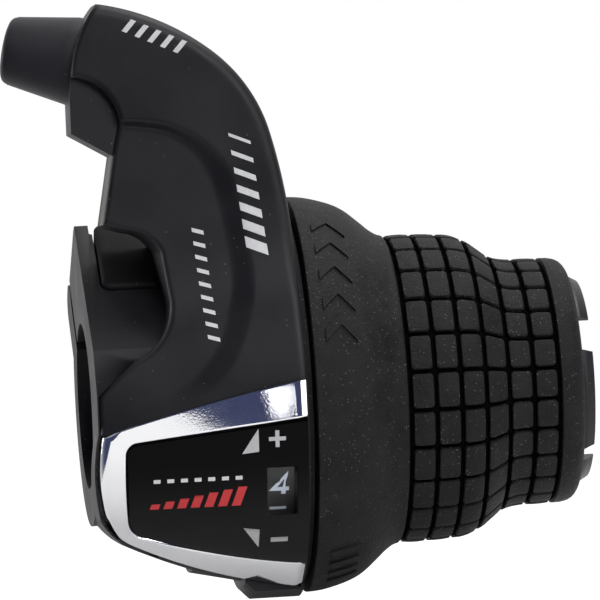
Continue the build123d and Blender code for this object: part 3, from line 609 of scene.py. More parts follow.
# %% Clamp, drum and small hard parts
cad_copy("housing", clamp_black, "housing")
cad_copy("grip_sleeve", sleeve_black, "grip")
cad_copy("dust_seal", grip_rubber, "housing")
STEEL_PARTS = ("clamp_bolt", "clamp_washer", "clamp_nut", "cover_screws", "retaining_ring", "detent_spring")
for steel_part in STEEL_PARTS:
    cad_copy(steel_part, zinc_steel, "housing")
for liner_part in ("cable_guide", "thrust_washer"):
    cad_copy(liner_part, pale_liner, "housing")
for turning_part in ("cable_spool", "detent_ring"):
    cad_copy(turning_part, sleeve_black, "grip")
cad_copy("number_ring", number_band, "grip")

# %% [markdown]
# ## The cable outlet
# The casing enters a tapered nozzle at the arm's end. It is turned on a lathe here: a closed profile of
# distance and radius, carried round the nozzle's own axis. The rim is a quarter circle and the socket is
# bored out, so the view from the side shows a real hole.

# %% Nozzle
def lathe_arrays(profile, origin, axis, reference, count):
    """Closed profile of (distance, radius) carried round an axis by the cosine and sine of the turn."""
    axis = np.array(axis) / np.linalg.norm(axis)
    first = np.cross(axis, reference)
    first = first / np.linalg.norm(first)
    second = np.cross(axis, first)
    turn = np.linspace(0, 2 * pi, count, endpoint=False)[:, None, None]
    profile = np.asarray(profile)
    ring = np.cos(turn) * first + np.sin(turn) * second
    return ring_arrays(np.array(origin) + profile[None, :, :1] * axis + profile[None, :, 1:] * ring)


def quarter(centre, radius, start, count=8):
    """Quarter circle about a centre, from a start angle in degrees, as (distance, radius) points."""
    turn = radians(start) - np.linspace(0, pi / 2, count)
    return [(centre[0] + radius * np.cos(a), centre[1] + radius * np.sin(a)) for a in turn]


OUTLET_ROOT = (0.0, -10.5, 46.1)
OUTLET_BACK = radians(13.7)
OUTLET_RISE = radians(13.1)
OUTLET_WAY = (
    -cos(OUTLET_BACK) * cos(OUTLET_RISE), sin(OUTLET_BACK) * cos(OUTLET_RISE), sin(OUTLET_RISE))
OUTLET_LENGTH = 9.0
OUTLET_INSIDE = 4.9
OUTLET_ROOT_R = 5.9
OUTLET_END_R = 4.45
CASING_R = 2.6
CASING_DEPTH = 8.0
WIRE_R = 1.5
RIM = 0.9
RIM_LIFT = 0.06
MOUTH_RIM = 0.3
SOCKET_FLOOR = OUTLET_LENGTH - CASING_DEPTH
taper = (OUTLET_END_R - OUTLET_ROOT_R) / OUTLET_LENGTH
nozzle_profile = [(-OUTLET_INSIDE, WIRE_R), (-OUTLET_INSIDE, OUTLET_ROOT_R), (0.0, OUTLET_ROOT_R)]
nozzle_profile += [(d, OUTLET_ROOT_R + taper * d) for d in np.linspace(0.4, OUTLET_LENGTH - RIM, 9)]
nozzle_profile += quarter((OUTLET_LENGTH - RIM, OUTLET_END_R - RIM + RIM_LIFT), RIM, 90)
nozzle_profile += quarter((OUTLET_LENGTH - MOUTH_RIM, CASING_R + MOUTH_RIM), -MOUTH_RIM, -180)
nozzle_profile += [(SOCKET_FLOOR, CASING_R), (SOCKET_FLOOR, WIRE_R)]
add_piece(
    "cable_nozzle", *lathe_arrays(nozzle_profile, OUTLET_ROOT, OUTLET_WAY, (0, 0, 1), 96),
    outlet_black, "housing", "black_moulding", ("cable_outlet",))

# %% [markdown]
# ## The hole cap
# A small lid closes the hole where the inner wire is put in. It is a rounded plate on the clamp's slope.
# Rings of a rounded rectangle, shrunk towards the middle, make a grid whose two parameters are the turn
# and the distance from the edge, so the soft edge is again a formula of that distance.

# %% Cap
ROOF_FOOT = np.array([18.5, 7.5])
ROOF_PEAK = np.array([-1.7, 24.3])
CAP_X, CAP_W, CAP_H, CAP_T = 2.5, 8.1, 13.4, 2.6
CAP_PROUD = 0.7
CAP_DROP = 0.4
CAP_CORNER = 1.2
CAP_EDGE = 0.6
CAP_INSETS = [1.5, 3.0, 4.05]
CAP_CENTRE = 0.005
START_TURN = 0.01
slope = (ROOF_PEAK - ROOF_FOOT) / np.linalg.norm(ROOF_PEAK - ROOF_FOOT)
cap_middle = ROOF_PEAK - slope * (CAP_H / 2 + CAP_DROP)
cap_origin = np.array([CAP_X + CAP_W / 2, -cap_middle[0], cap_middle[1]])
cap_up = np.array([0, -slope[0], slope[1]])
cap_out = np.array([0, -slope[1], -slope[0]])


def rounded_rectangle(width, height, corner, count):
    """Outline at each turn: a straight core of the rectangle less its corners, plus the corner's circle."""
    way = np.exp(1j * (np.linspace(0, 2 * pi, count, endpoint=False) + START_TURN))
    across = np.sign(way.real) * (width / 2 - corner)
    upward = np.sign(way.imag) * (height / 2 - corner)
    return across + 1j * upward + corner * way


cap_rim = rounded_rectangle(CAP_W, CAP_H, CAP_CORNER, 160)
inset = np.concatenate([CAP_EDGE * eased(8), CAP_INSETS])
cap_plan = cap_rim[:, None] * np.maximum(1 - inset / min(CAP_W, CAP_H) * 2, CAP_CENTRE)
cap_rise = np.broadcast_to(CAP_PROUD - rounding(inset, CAP_EDGE), cap_plan.shape)


def on_cap(plan_points, rise):
    """Points on the clamp's slope: along the bar, up the slope, and out of it."""
    flat = plan_points.real[..., None] * np.array([1.0, 0, 0]) + plan_points.imag[..., None] * cap_up
    return cap_origin + flat + rise[..., None] * cap_out


cap_top = on_cap(cap_plan, cap_rise)
cap_low = on_cap(cap_plan, np.full(cap_plan.shape, CAP_PROUD - CAP_T))
cap_points = np.concatenate([cap_top[:, ::-1], cap_low], 1)
add_piece(
    "wire_hole_lid", *ring_arrays(cap_points), cap_shaded_black, "housing", "black_moulding", ("hole_cap",))

# %% [markdown]
# ## The gear window
# A plated frame follows the cone round three sides of a dark lens. They could be cut out of the cone with
# booleans, but the cut edges would be ragged. Both are ruled grids again: the frame runs straight across
# from the lens outline to its own, so that each side is a flat facet that mirrors one part of the room,
# and the lens lies between its top and its bottom edge. Its clear patch is a mask in object coordinates,
# because the patch is printed from behind and has no edge that a finger would feel.

# %% Bright frame
BEZEL_END_X = 27.0
lens_top_right = (BEZEL_END_X, -2.7)
lens_low_right = (BEZEL_END_X, -22.48)
LENS_CORNER = (4.8, -5.01)
LENS_SIDE = (3.4, -6.49)
LENS_LOW_SIDE = (3.65, -15.33)
LENS_LOW_CORNER = (6.2, -18.03)
lens_corner = arc(LENS_CORNER, (3.9, -5.47), LENS_SIDE)
lens_low_corner = arc(LENS_LOW_SIDE, (4.5, -17.21), LENS_LOW_CORNER)
lens_low_run = arc(LENS_LOW_CORNER, (15.2, -20.59), lens_low_right)
FRAME_COUNTS = [60, 24, 20, 30, 26, 60]
FRAME_LOW_SIDE = (0.5, -15.1)
FRAME_LOW_CORNER = (4.2, -18.69)
frame_inner = matched([
    line(lens_top_right, LENS_CORNER), sampled(lens_corner, 30, 0, 0.5), sampled(lens_corner, 30, 0.5, 1),
    arc(LENS_SIDE, (3.4, -12.0), LENS_LOW_SIDE), lens_low_corner, lens_low_run], FRAME_COUNTS)
top_run = bezel_top[::-1]
left_run = arc(COVER_CORNER, (-0.3, -9.5), FRAME_LOW_SIDE)
frame_outer = matched([
    sampled(top_run, 60, 0.01, 0.9), sampled(top_run, 60, 0.9, 1), sampled(left_run, 40, 0, 0.2),
    sampled(left_run, 40, 0.2, 1), arc(FRAME_LOW_SIDE, (2.0, -17.06), FRAME_LOW_CORNER),
    arc(FRAME_LOW_CORNER, (13.2, -22.41), (BEZEL_END_X, -25.6))], FRAME_COUNTS)
BEZEL_PROUD = 0.35
END_FACET = 0.9
END_DROP = 0.56
SWELL_X = 21.5
SWELL_W = 3.0
SWELL_H = 0.1
SWELL_Z = -8.0
LENS_SIDE_ROUND = 0.28
RIM_ROUND = 0.14
LEFT_ROUND = 1.7
LEFT_FADE = (0.8, 3.0)
PLATE_DEPTH = 1.3


def on_cone(plan_points, rise):
    """Points at a height above the cone, found in front of the bar's axis."""
    radius = cone_radius(plan_points.real) + rise
    return placed(plan_points, leg(radius, plan_points.imag, least=0.01))


frame_share = np.concatenate([np.linspace(0, 0.16, 8), np.linspace(0.2, 0.84, 10), np.linspace(0.88, 1, 8)])
frame_plan = ruled(frame_inner, frame_outer, frame_share)
frame_gap = np.abs(frame_outer - frame_inner)[:, None]
swell = SWELL_H * np.exp(-((frame_plan.real - SWELL_X) / SWELL_W) ** 2) * (frame_plan.imag > SWELL_Z)
end_slope = END_DROP * np.clip((frame_plan.real - BEZEL_END_X + END_FACET) / END_FACET, 0, 1)
rim_round = RIM_ROUND + (LEFT_ROUND - RIM_ROUND) * (1 - ramp(frame_plan.real, *LEFT_FADE))
rounded = rounding(frame_share * frame_gap, LENS_SIDE_ROUND)
rounded = rounded + rounding((1 - frame_share) * frame_gap, rim_round)
inner_edge = on_cone(frame_inner, BEZEL_PROUD)[:, None]
outer_edge = on_cone(frame_outer, BEZEL_PROUD)[:, None]
facet = inner_edge + (outer_edge - inner_edge) * frame_share[:, None]
pulled_in = 1 - (rounded + end_slope - swell) / np.hypot(facet[..., 1], facet[..., 2])
frame_top = facet * np.stack([np.ones_like(pulled_in), pulled_in, pulled_in], -1)
add_piece(
    "indicator_frame", *slab_arrays(frame_top, on_cone(frame_plan, -PLATE_DEPTH)),
    bright_plating, "housing", "bright_trim", ("indicator_bezel",), sharp=35)

# %% Lens with its smoky patch
WINDOW_X = (21.6, 25.6)
WINDOW_Z = (-15.4, -9.1)
WINDOW_CLEAR = 0.93
LOWER_LIGHT_Z = (-6.0, -19.0)
LOWER_LIGHT_DRIFT = 2.0
LENS_GAP = 0.1
LENS_PROUD = 0.02
LENS_ROUND = 0.35
LENS_EDGE = 0.03
LENS_COUNTS = [40, 70]
lens_glass = Finish("smoked_lens", Roughness=0.06, Specular_IOR_Level=0.06)
lens_x = lens_glass.node("ShaderNodeSeparateXYZ", {}, {0: lens_glass.place()}, output="X")
lens_z = lens_x.sibling("Z")
clear_x = (lens_x > WINDOW_X[0] * MM) * (lens_x < WINDOW_X[1] * MM)
clear = clear_x * (lens_z > WINDOW_Z[0] * MM) * (lens_z < WINDOW_Z[1] * MM)
# The lens's colour grows lighter towards its bottom: painted light, standing in for the light that its
# lower part catches.
lens_lower_light = lens_glass.node("ShaderNodeMapRange", {"interpolation_type": "SMOOTHSTEP"}, {
    "Value": lens_z + lens_glass.noise(5.0) * (LOWER_LIGHT_DRIFT * MM),
    "From Min": LOWER_LIGHT_Z[0] * MM, "From Max": LOWER_LIGHT_Z[1] * MM})
lens_glass.set(
    Base_Color=lens_glass.mix(lens_lower_light, shade(0.001), shade(0.015)),
    Alpha=1 - clear * WINDOW_CLEAR)
lens_top = matched([lens_corner[::-1], line(LENS_CORNER, lens_top_right)], LENS_COUNTS)
lens_low = matched([lens_low_corner, lens_low_run], LENS_COUNTS)
lens_edge = LENS_EDGE * eased(6)
lens_share = np.concatenate([lens_edge, np.linspace(0.04, 0.96, 60), 1 - lens_edge[::-1]])
lens_plan = ruled(lens_top - 1j * LENS_GAP, lens_low + 1j * LENS_GAP, lens_share)
lens_plan = lens_plan + LENS_GAP * (1 - ramp(np.arange(len(lens_plan)), 0, 12))[:, None]
lens_rim = np.concatenate([lens_top[::-1], line(LENS_SIDE, LENS_LOW_SIDE), lens_low])
lens_rise = LENS_PROUD - rounding(distance_to(sampled(lens_rim, 1200), lens_plan), LENS_ROUND)
add_piece(
    "gear_lens", *slab_arrays(on_cone(lens_plan, lens_rise), on_cone(lens_plan, -PLATE_DEPTH)),
    lens_glass.material, "housing", "smoked_lens", ("indicator_lens",))

# %% [markdown]
# ## Printed marks
# Ink is a film a few hundredths of a millimetre thick. It could be a mask in the material, but a small
# closed slab keeps a crisp edge at any distance and in an exported mesh. A mark is a ribbon along a path,
# or a patch between four corners, laid on a surface by that surface's own formula.

# %% Ribbons and patches
INK = 0.05
BOTH_SIDES = np.array([-0.5, 0.5])


def ribbon(path, thickness):
    """Two rails beside a path, moved out along the mean normal, further at corners to keep the width."""
    path = np.asarray(path, complex)
    runs = np.diff(path) / np.abs(np.diff(path))
    before = np.concatenate([runs[:1], runs])
    after = np.concatenate([runs, runs[-1:]])
    mean = (before + after) / np.abs(before + after)
    reach = 1 / np.maximum((mean * np.conj(before)).real, 0.5)
    return path[:, None] + 1j * (mean * reach)[:, None] * BOTH_SIDES * thickness


def stroke(a, b, thickness, count=6):
    """Straight ribbon between two points."""
    return ribbon(line(a, b, count), thickness)


def patch(a, b, c, d, count=6):
    """Grid between four corners, straight along both ways."""
    t = np.linspace(0, 1, count)
    a, b, c, d = complex(*a), complex(*b), complex(*c), complex(*d)
    first = a + (b - a) * t
    second = d + (c - d) * t
    return first[:, None] + (second - first)[:, None] * t


def laid(name, marks, lay, ink, lift=INK, body="housing", slot="number_band"):
    """Thin slabs of ink: each mark's grid laid at a small height, and again just below the surface."""
    parts = [slab_arrays(lay(mark, lift), lay(mark, -INK)) for mark in marks]
    parts = [(points, outward(points, quads)) for points, quads in parts]
    add_piece(name, *joined(parts), ink, body, slot, sharp=60)


# %% Signs in the window
triangle_up = patch((18.4, -7.1), (20.6, -6.9), (20.6, -3.9), (20.5, -4.0))
triangle_down = patch((18.6, -17.0), (20.7, -17.3), (20.7, -19.7), (20.6, -19.6))
plus_across = stroke((21.9, -5.3), (24.1, -5.3), 0.52)
plus_upright = stroke((23.0, -6.4), (23.0, -4.2), 0.52)
minus = stroke((22.2, -18.75), (24.4, -18.75), 0.6)
signs = [triangle_up, triangle_down, plus_across, plus_upright, minus]
laid("window_signs", signs, on_cone, silver_ink)
GEARS = 7
BAR_FOOT = -13.9
BAR_W = 1.15
BAR_LEAN = 0.35
DASH_Z = -10.2
DASH_LONG = 0.9
bar_x = np.linspace(6.4, 17.0, GEARS)


def step_bar(x, height):
    """Bar that stands on the foot line and leans over in proportion to its height."""
    top = BAR_FOOT + height
    over = x + height * BAR_LEAN
    return patch((x, BAR_FOOT), (x + BAR_W, BAR_FOOT), (over + BAR_W, top), (over, top))


bars = [step_bar(x, height) for x, height in zip(bar_x, np.linspace(0.7, 2.5, GEARS))]
laid("window_steps", bars, on_cone, red_ink)
rule = [stroke((x, DASH_Z), (x + DASH_LONG, DASH_Z), 0.5, 5) for x in bar_x + 0.5]
laid("window_dashes", rule, on_cone, white_ink)

# %% Marks on the cover
def on_cover(plan_points, rise):
    """Points on the cover's skin, with the dished panel taken off as on the skin itself."""
    depth = front_depth(plan_points.real, plan_points.imag) - dish(plan_points)
    return placed(plan_points, depth + rise)


def bar_row(start, end, count, length, heights, lean):
    """Evenly spaced slanted bars across a line from start to end, from the first height to the last."""
    start, end = complex(*start), complex(*end)
    way = (end - start) / abs(end - start)
    sideways = way * (1j * length / 2 + lean)
    spots = start + (end - start) * (np.arange(count) + 0.5) / count
    t = np.linspace(-1, 1, 6)
    return [spot + t[:, None] * sideways + t * way * height / 2
            for spot, height in zip(spots, np.linspace(*heights, count))]


COVER_ROWS = {
    "flank_bars": bar_row((20.6, 35.6), (22.3, 19.0), GEARS, 2.7, (0.45, 1.5), 0.75),
    "panel_ticks": bar_row((14.6, 23.4), (15.8, 7.4), 9, 1.5, (0.55, 0.55), 0.3),
    "brow_ticks": bar_row((6.2, 50.4), (14.4, 46.6), 5, 1.9, (0.7, 0.7), 0.3),
}
for row_name, row_marks in COVER_ROWS.items():
    laid(row_name, row_marks, on_cover, white_ink)

# %% [markdown]
# The gear numbers are printed on a ring that turns with the grip, behind the lens. They could be text
# objects. A ribbon along a few strokes is chosen, because it bends round the ring by the ring's own
# formula. Their ink and the dashes' ink glow a little: painted light against the deep window's shade.

# %% Gear numbers on their ring
NUMBER_R = 22.2
NUMBER_MIDDLE = radians(-31.2)
GEAR_STEP = radians(20)
MIDDLE_GEAR = 4
NUMBER_INK = 0.04
DIGITS = {
    1: [(0.3, 1.2), (0.62, 1.5), (0.62, 0)],
    2: [(0.1, 1.2), (0.3, 1.5), (0.7, 1.5), (0.9, 1.25), (0.85, 0.95), (0.1, 0), (0.95, 0)],
    3: [(0.1, 1.5), (0.9, 1.5), (0.5, 0.9), (0.8, 0.8), (0.92, 0.45), (0.7, 0.04), (0.3, 0), (0.08, 0.2)],
    4: [(0.7, 0), (0.7, 1.5), (0.05, 0.42), (0.98, 0.42)],
    5: [(0.9, 1.5), (0.2, 1.5), (0.14, 0.85), (0.6, 0.95), (0.92, 0.65), (0.85, 0.2), (0.55, 0),
        (0.1, 0.08)],
    6: [(0.8, 1.5), (0.4, 1.3), (0.14, 0.85), (0.12, 0.35), (0.35, 0), (0.7, 0.02), (0.92, 0.4),
        (0.72, 0.8), (0.2, 0.72)],
    7: [(0.1, 1.5), (0.95, 1.5), (0.35, 0)],
}
DIGIT_W = 2.3
DIGIT_STROKE = 0.6
DIGIT_SQUASH = 0.86
DIGIT_SLANT = 0.12
DIGIT_X = 22.55
DIGIT_HALF = 1.5
DASH_X = (22.4, 24.6)
DASH_STROKE = 0.45


def round_bar(x, radius, turn):
    """Points round the bar: the turn goes from the front towards the top."""
    return np.stack([x, -radius * np.cos(turn), radius * np.sin(turn)], -1)


def on_ring(plan_points, rise):
    """Points round the number ring: x along the bar, and the imaginary part as length round the ring."""
    return round_bar(plan_points.real, NUMBER_R + rise, plan_points.imag / NUMBER_R)


def ring_place(gear):
    """Length round the ring to the middle of a gear's number."""
    return (NUMBER_MIDDLE + (gear - MIDDLE_GEAR) * GEAR_STEP) * NUMBER_R


numbers = []
for gear, strokes in DIGITS.items():
    corners = np.array([complex(x + DIGIT_SLANT * z, z * DIGIT_SQUASH) for x, z in strokes]) * DIGIT_W
    numbers.append(ribbon(corners + complex(DIGIT_X, ring_place(gear) - DIGIT_HALF), DIGIT_STROKE))
laid("gear_numbers", numbers, on_ring, glowing_number_ink, NUMBER_INK, "grip")
dash_places = [ring_place(gear + 0.5) for gear in range(GEARS + 1)]
dashes = [stroke((DASH_X[0], low), (DASH_X[1], low), DASH_STROKE) for low in dash_places]
laid("gear_dashes", dashes, on_ring, glowing_grey_ink, NUMBER_INK, "grip")

# %% [markdown]
# ## The rubber grip
# The grip is moulded over its sleeve: a smooth bell, three rings of blocks, a fourth on a step down, and
# two slimmer ones to the end. It could be a block with array modifiers, but the blocks follow a curved
# profile. So the whole grip is one lathe whose radius also depends on the turn: the profile's radius,
# less a groove wherever the distance to a rounded box round each block's middle is positive.

# %% Grip profile and its samples
BELL_X = 28.4
GRIP_END_X = 65.8
PROFILE = [
    (28.4, 26.55), (28.7, 26.7), (31.0, 26.45), (34.0, 25.6), (36.0, 24.6), (38.0, 22.95), (39.5, 21.65),
    (41.1, 20.85), (44.0, 20.82), (47.0, 20.7), (50.0, 20.45), (52.3, 19.6), (54.0, 18.35), (55.3, 17.46),
    (57.0, 16.8), (60.0, 16.68), (65.0, 16.55)]
ROWS = 25
COLUMNS = 6
ROW_TURN = radians(6.6)
FIRST_GROOVE = 41.6
LAST_GROOVE = 62.2
PITCH = (LAST_GROOVE - FIRST_GROOVE) / COLUMNS
GROOVE_HALF = 0.28
GROOVE_DEPTH = 1.0
GROOVE_WALL = (-0.08, 0.15)
GROOVE_END = (-0.12, 0.2)
BLOCK_CORNER = 0.5
BLOCK_CROWN = 0.06


def profile_radius(x):
    """Outside radius along the grip: a smooth curve through the profile's points."""
    curve = smooth_path(PROFILE, 1200)
    return np.interp(x, curve.real, curve.imag)


def repeated(half, count):
    """Places in a row of blocks, counted in blocks: those of half a block, mirrored and repeated."""
    half = np.array(half)
    whole = np.concatenate([half, 1 - half[-2:0:-1]])
    return (np.arange(count)[:, None] + whole).ravel()


row_places = repeated([0, 0.03, 0.052, 0.075, 0.1, 0.14, 0.22, 0.36, 0.5], ROWS)
turns = ROW_TURN + row_places * 2 * pi / ROWS
field_x = FIRST_GROOVE + repeated([0, 0.045, 0.08, 0.11, 0.145, 0.2, 0.33, 0.5], COLUMNS) * PITCH
mouth_x = BELL_X + np.array([0, 0.05, 0.15, 0.3])
bell_x = np.linspace(BELL_X + 0.7, 40.7, 34)
before_x = FIRST_GROOVE - np.array([0.5, 0.3, 0.15])
end_x = LAST_GROOVE + np.array([0, 0.15, 0.25, 0.38, 0.52, 0.7, 1.0, 1.4])
outer_x = np.concatenate([mouth_x, bell_x, before_x, field_x, end_x])
print("grip grid", len(turns), "turns,", len(outer_x), "places along the bar")

# %% Blocks and grooves
def block_distance(turn, x, radius):
    """Signed distance to the nearest block's outline: a rounded box along the bar and round it."""
    row = (turn - ROW_TURN) / (2 * pi / ROWS)
    across = ((row % 1) - 0.5) * 2 * pi / ROWS * radius
    lengthwise = (((x - FIRST_GROOVE) / PITCH) % 1 - 0.5) * PITCH
    half_across = pi / ROWS * radius - GROOVE_HALF
    half_length = PITCH / 2 - GROOVE_HALF
    p = np.abs(lengthwise) - half_length + BLOCK_CORNER
    q = np.abs(across) - half_across + BLOCK_CORNER
    return np.hypot(np.maximum(p, 0), np.maximum(q, 0)) + np.minimum(np.maximum(p, q), 0) - BLOCK_CORNER


turn_grid, x_grid = np.meshgrid(turns, outer_x, indexing="ij")
radius_grid = profile_radius(x_grid)
box_gap = block_distance(turn_grid, x_grid, radius_grid)
groove = GROOVE_DEPTH * ramp(box_gap, *GROOVE_WALL) + BLOCK_CROWN * ramp(box_gap, -1.0, 0)
groove = np.where((x_grid < FIRST_GROOVE) | (x_grid > LAST_GROOVE), GROOVE_DEPTH, groove)
from_first = x_grid - (FIRST_GROOVE - GROOVE_HALF)
to_last = LAST_GROOVE + GROOVE_HALF - x_grid
groove = groove * ramp(from_first, *GROOVE_END) * ramp(to_last, *GROOVE_END)

# %% The grip's whole section and its skin
END_EDGE = 1.9
END_R = 16.5
SLEEVE_STEPS = [
    (GRIP_END_X, 14.35), (50.84, 14.35), (50.84, 18.1), (35.88, 18.1), (35.88, 22.2),
    (BELL_X, 22.2), (BELL_X, 25.9)]
end_points = [(GRIP_END_X - END_EDGE + END_EDGE * sin(a), END_R - END_EDGE + END_EDGE * cos(a))
              for a in np.linspace(0.2, pi / 2, 7)]
inside = np.array(end_points + SLEEVE_STEPS)
inside_shape = (len(turns), len(inside))
section_x = np.concatenate([x_grid, np.broadcast_to(inside[:, 0], inside_shape)], 1)
section_r = np.concatenate([radius_grid - groove, np.broadcast_to(inside[:, 1], inside_shape)], 1)
grip_points = round_bar(section_x, section_r, turns[:, None])
rubber_skin = add_piece(
    "rubber_skin", *ring_arrays(grip_points), grip_rubber, "grip", "grip_rubber", ("rubber_grip",),
    sharp=60)

# %% [markdown]
# The grooves get the blacker rubber, painted shade for the shade that falls in them. A mask in the material
# could find them by their radius, but that changes along the grip. The arrays know how deep each point was
# sunk, so a face takes the second material where the mean of its corners is deep enough.

# %% Painted shade in the grooves
SUNK_FROM = 0.25
GROOVE_SHARE = 0.4
sunk = np.concatenate([ramp(groove, SUNK_FROM, GROOVE_DEPTH), np.zeros(inside_shape)], 1).ravel()
rubber_skin.data.materials.append(groove_painted_shade)
face_points = np.empty(len(rubber_skin.data.loops), np.int32)
rubber_skin.data.loops.foreach_get("vertex_index", face_points)
groove_shade_faces = sunk[face_points.reshape(-1, 4)].mean(1) > GROOVE_SHARE
rubber_skin.data.polygons.foreach_set("material_index", groove_shade_faces.astype(np.int32))
print("groove faces", groove_shade_faces.sum())

# %% [markdown]
# The bell has raised marks. They could be displaced out of its skin, but that needs many points there.
# Thin slabs laid on the profile's own formula are sharper with far fewer.

# %% Raised chevrons and ribs on the bell
def on_bell(plan_points, rise):
    """Points on the bell: x along the bar, and the imaginary part as a turn in radians."""
    return round_bar(plan_points.real, profile_radius(plan_points.real) + rise, plan_points.imag)


def bell_band(corners, thickness, count):
    """Two rails above and below a broken line, with even steps between its corners."""
    steps = np.linspace(0, len(corners) - 1, count)
    middle = np.interp(steps, np.arange(len(corners)), corners)
    return middle[:, None] + 1j * BOTH_SIDES * thickness


CHEVRON_TURNS = 0.3 + 0.17 * np.arange(5)
CHEVRON_RISE = 0.09
CHEVRON_STROKE = 0.062
RIB_TURNS = -1.22 + 0.1 * np.arange(4)
RIB_STROKE = 0.036
MARK_RISE = 0.3
chevron = np.array([30.2, 32.4 + CHEVRON_RISE * 1j, 34.6])
chevrons = [bell_band(chevron + 1j * turn, CHEVRON_STROKE, 25) for turn in CHEVRON_TURNS]
ribs = [bell_band(np.array([30.4, 34.4]) + 1j * turn, RIB_STROKE, 20) for turn in RIB_TURNS]
laid("bell_marks", chevrons + ribs, on_bell, grip_rubber, MARK_RISE, "grip", "grip_rubber")

# %% [markdown]
# ## Floor, light and camera
# The photograph has a white sweep and soft light from the front and above. A pale floor and a pale world
# stand in for the sweep, and large area lamps for the soft boxes. A picture of a studio could light the
# scene too, but plain shapes can be moved one by one. The world is white behind and dim in front, and the
# floor ends close by in front and to the left, so the bright frame has dark and light to mirror.

# %% Floor
FLOOR_Z = -28.6
FLOOR_FRONT = -140.0
FLOOR_LEFT = -38.0
FLOOR_WIDE = 30.0
FAR = 2500.0
floor_outline = [
    (FLOOR_LEFT, FLOOR_FRONT), (FAR, FLOOR_FRONT), (FAR, FLOOR_WIDE), (FAR, FAR),
    (-FAR, FAR), (-FAR, FLOOR_WIDE), (FLOOR_LEFT, FLOOR_WIDE)]
floor_points = [(x * MM, y * MM, FLOOR_Z * MM) for x, y in floor_outline]
floor_mesh = bpy.data.meshes.new("floor")
floor_mesh.from_pydata(floor_points, [], [(0, 1, 2, 6), (2, 3, 4, 5, 6)])
floor = bpy.data.objects.new("floor", floor_mesh)
bpy.context.scene.collection.objects.link(floor)

# %% Floor finish
SEEN_SHARE = 0.75
MIRRORED_SHARE = 0.12
WHITE_GLOW = 1.28
floor_finish = Finish("pale_floor", Base_Color=shade(0.85), Roughness=0.9)
seen = floor_finish.node("ShaderNodeLightPath", output="Is Camera Ray")
glow = floor_finish.node("ShaderNodeEmission", {}, {"Color": shade(1.0), "Strength": WHITE_GLOW})
straight = seen + seen.sibling("Is Transmission Ray")
glow_share = straight * SEEN_SHARE + seen.sibling("Is Glossy Ray") * MIRRORED_SHARE
surface = Signal(floor_finish, floor_finish.shader.outputs[0])
mixed = floor_finish.node("ShaderNodeMixShader", {}, {0: glow_share, 1: surface, 2: glow})
floor_finish.tree.links.new(mixed.socket, floor_finish.tree.nodes["Material Output"].inputs[0])
floor_mesh.materials.append(floor_finish.material)
print("floor at", FLOOR_Z, "mm, from", FLOOR_FRONT, "in front")

# %% World
world = bpy.data.worlds.new("studio")
bpy.context.scene.world = world
world.use_nodes = True


class Sky(Finish):
    """The world's node tree, with the same one method for its nodes."""

    def __init__(self, tree):
        self.tree = tree


STUDIO_GLOOM = shade(0.14, (0.92, 0.97, 1.2))
STUDIO_BLUE = shade(0.07, (0.7, 0.85, 1.9))
STUDIO_PALE = shade(0.5)
WHITE = shade(1.0)
sky = Sky(world.node_tree)
seen_sky = sky.node("ShaderNodeLightPath", output="Is Camera Ray")
sky_way = sky.node("ShaderNodeTexCoord", output="Generated")
sky_y = sky.node("ShaderNodeSeparateXYZ", {}, {0: sky_way}, output="Y")
behind = sky.node("ShaderNodeMapRange", {"interpolation_type": "SMOOTHSTEP"}, {
    "Value": sky_y, "From Min": -0.2, "From Max": 0.7})
lighting = sky.mix(behind, STUDIO_GLOOM, STUDIO_PALE)
mirrored = sky.mix(behind, STUDIO_BLUE, WHITE)
unseen = sky.mix(seen_sky.sibling("Is Glossy Ray"), lighting, mirrored)
backdrop = sky.mix(seen_sky + seen_sky.sibling("Is Transmission Ray"), unseen, WHITE)
sky.feed(world.node_tree.nodes["Background"].inputs["Color"], backdrop)
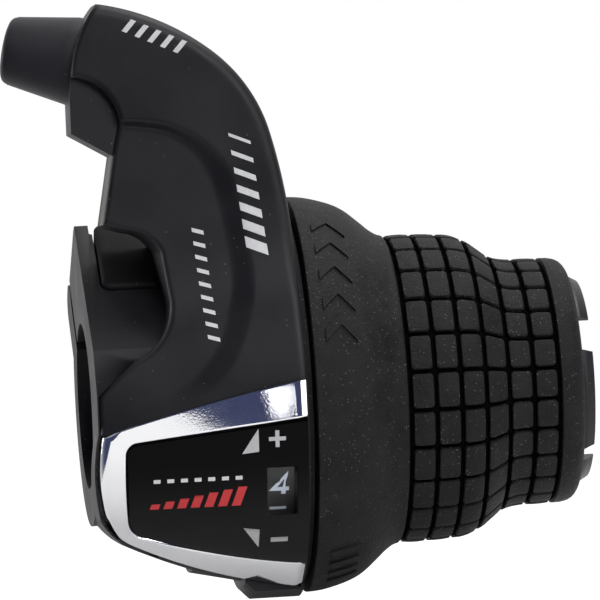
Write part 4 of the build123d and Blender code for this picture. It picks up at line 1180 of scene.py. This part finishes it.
print("world nodes", len(world.node_tree.nodes))


# %% Lamps
def soft_box(name, place, target, size, power):
    """Rectangular area lamp in millimetres that faces a target."""
    lamp = bpy.data.lights.new(name, "AREA")
    lamp.shape = "RECTANGLE"
    lamp.size, lamp.size_y = size[0] * MM, size[1] * MM
    lamp.energy = power
    thing = bpy.data.objects.new(name, lamp)
    thing.location = Vector(place) * MM
    thing.rotation_euler = (Vector(target) - Vector(place)).to_track_quat("-Z", "Y").to_euler()
    bpy.context.scene.collection.objects.link(thing)


MIDDLE = (30.0, 0.0, 12.0)
soft_box("key_box", (150, -740, 470), MIDDLE, (420, 420), 4.4)
soft_box("fill_box", (560, -560, 160), MIDDLE, (300, 520), 1.3)
soft_box("top_box", (240, -20, 660), MIDDLE, (500, 300), 3.7)
soft_box("spark_box", (-175, -760, -50), MIDDLE, (16, 16), 0.013)
soft_box("side_box", (-500, 250, 60), MIDDLE, (300, 300), 1.4)
print("lamps", [(lamp.name, round(lamp.energy, 3)) for lamp in bpy.data.lights])

# %% [markdown]
# The photograph was taken from far away, a little from the left, and held slightly askew. A long lens at
# nearly a metre gives the same flat look, and a small roll about the view gives the tilt.

# %% Camera
CAMERA_TURN = radians(6.5)
CAMERA_ROLL = radians(-3.15)
CAMERA_REACH = 900.0
CAMERA_LENS = 399.6
TARGET = Vector((29.89, 0.0, 12.7))
camera_data = bpy.data.cameras.new("camera")
camera_data.lens = CAMERA_LENS
camera_data.sensor_width = 36.0
camera_data.clip_start = 0.05
camera_data.clip_end = 20.0
camera = bpy.data.objects.new("camera", camera_data)
place = TARGET + CAMERA_REACH * Vector((-sin(CAMERA_TURN), -cos(CAMERA_TURN), 0))
look = (TARGET - place).to_track_quat("-Z", "Y").to_matrix().to_4x4()
camera.matrix_world = Matrix.Translation(place * MM) @ look @ Matrix.Rotation(CAMERA_ROLL, 4, "Z")
bpy.context.scene.collection.objects.link(camera)
bpy.context.scene.camera = camera
bpy.context.scene.view_settings.view_transform = "Standard"
print("camera at", [round(value) for value in place])
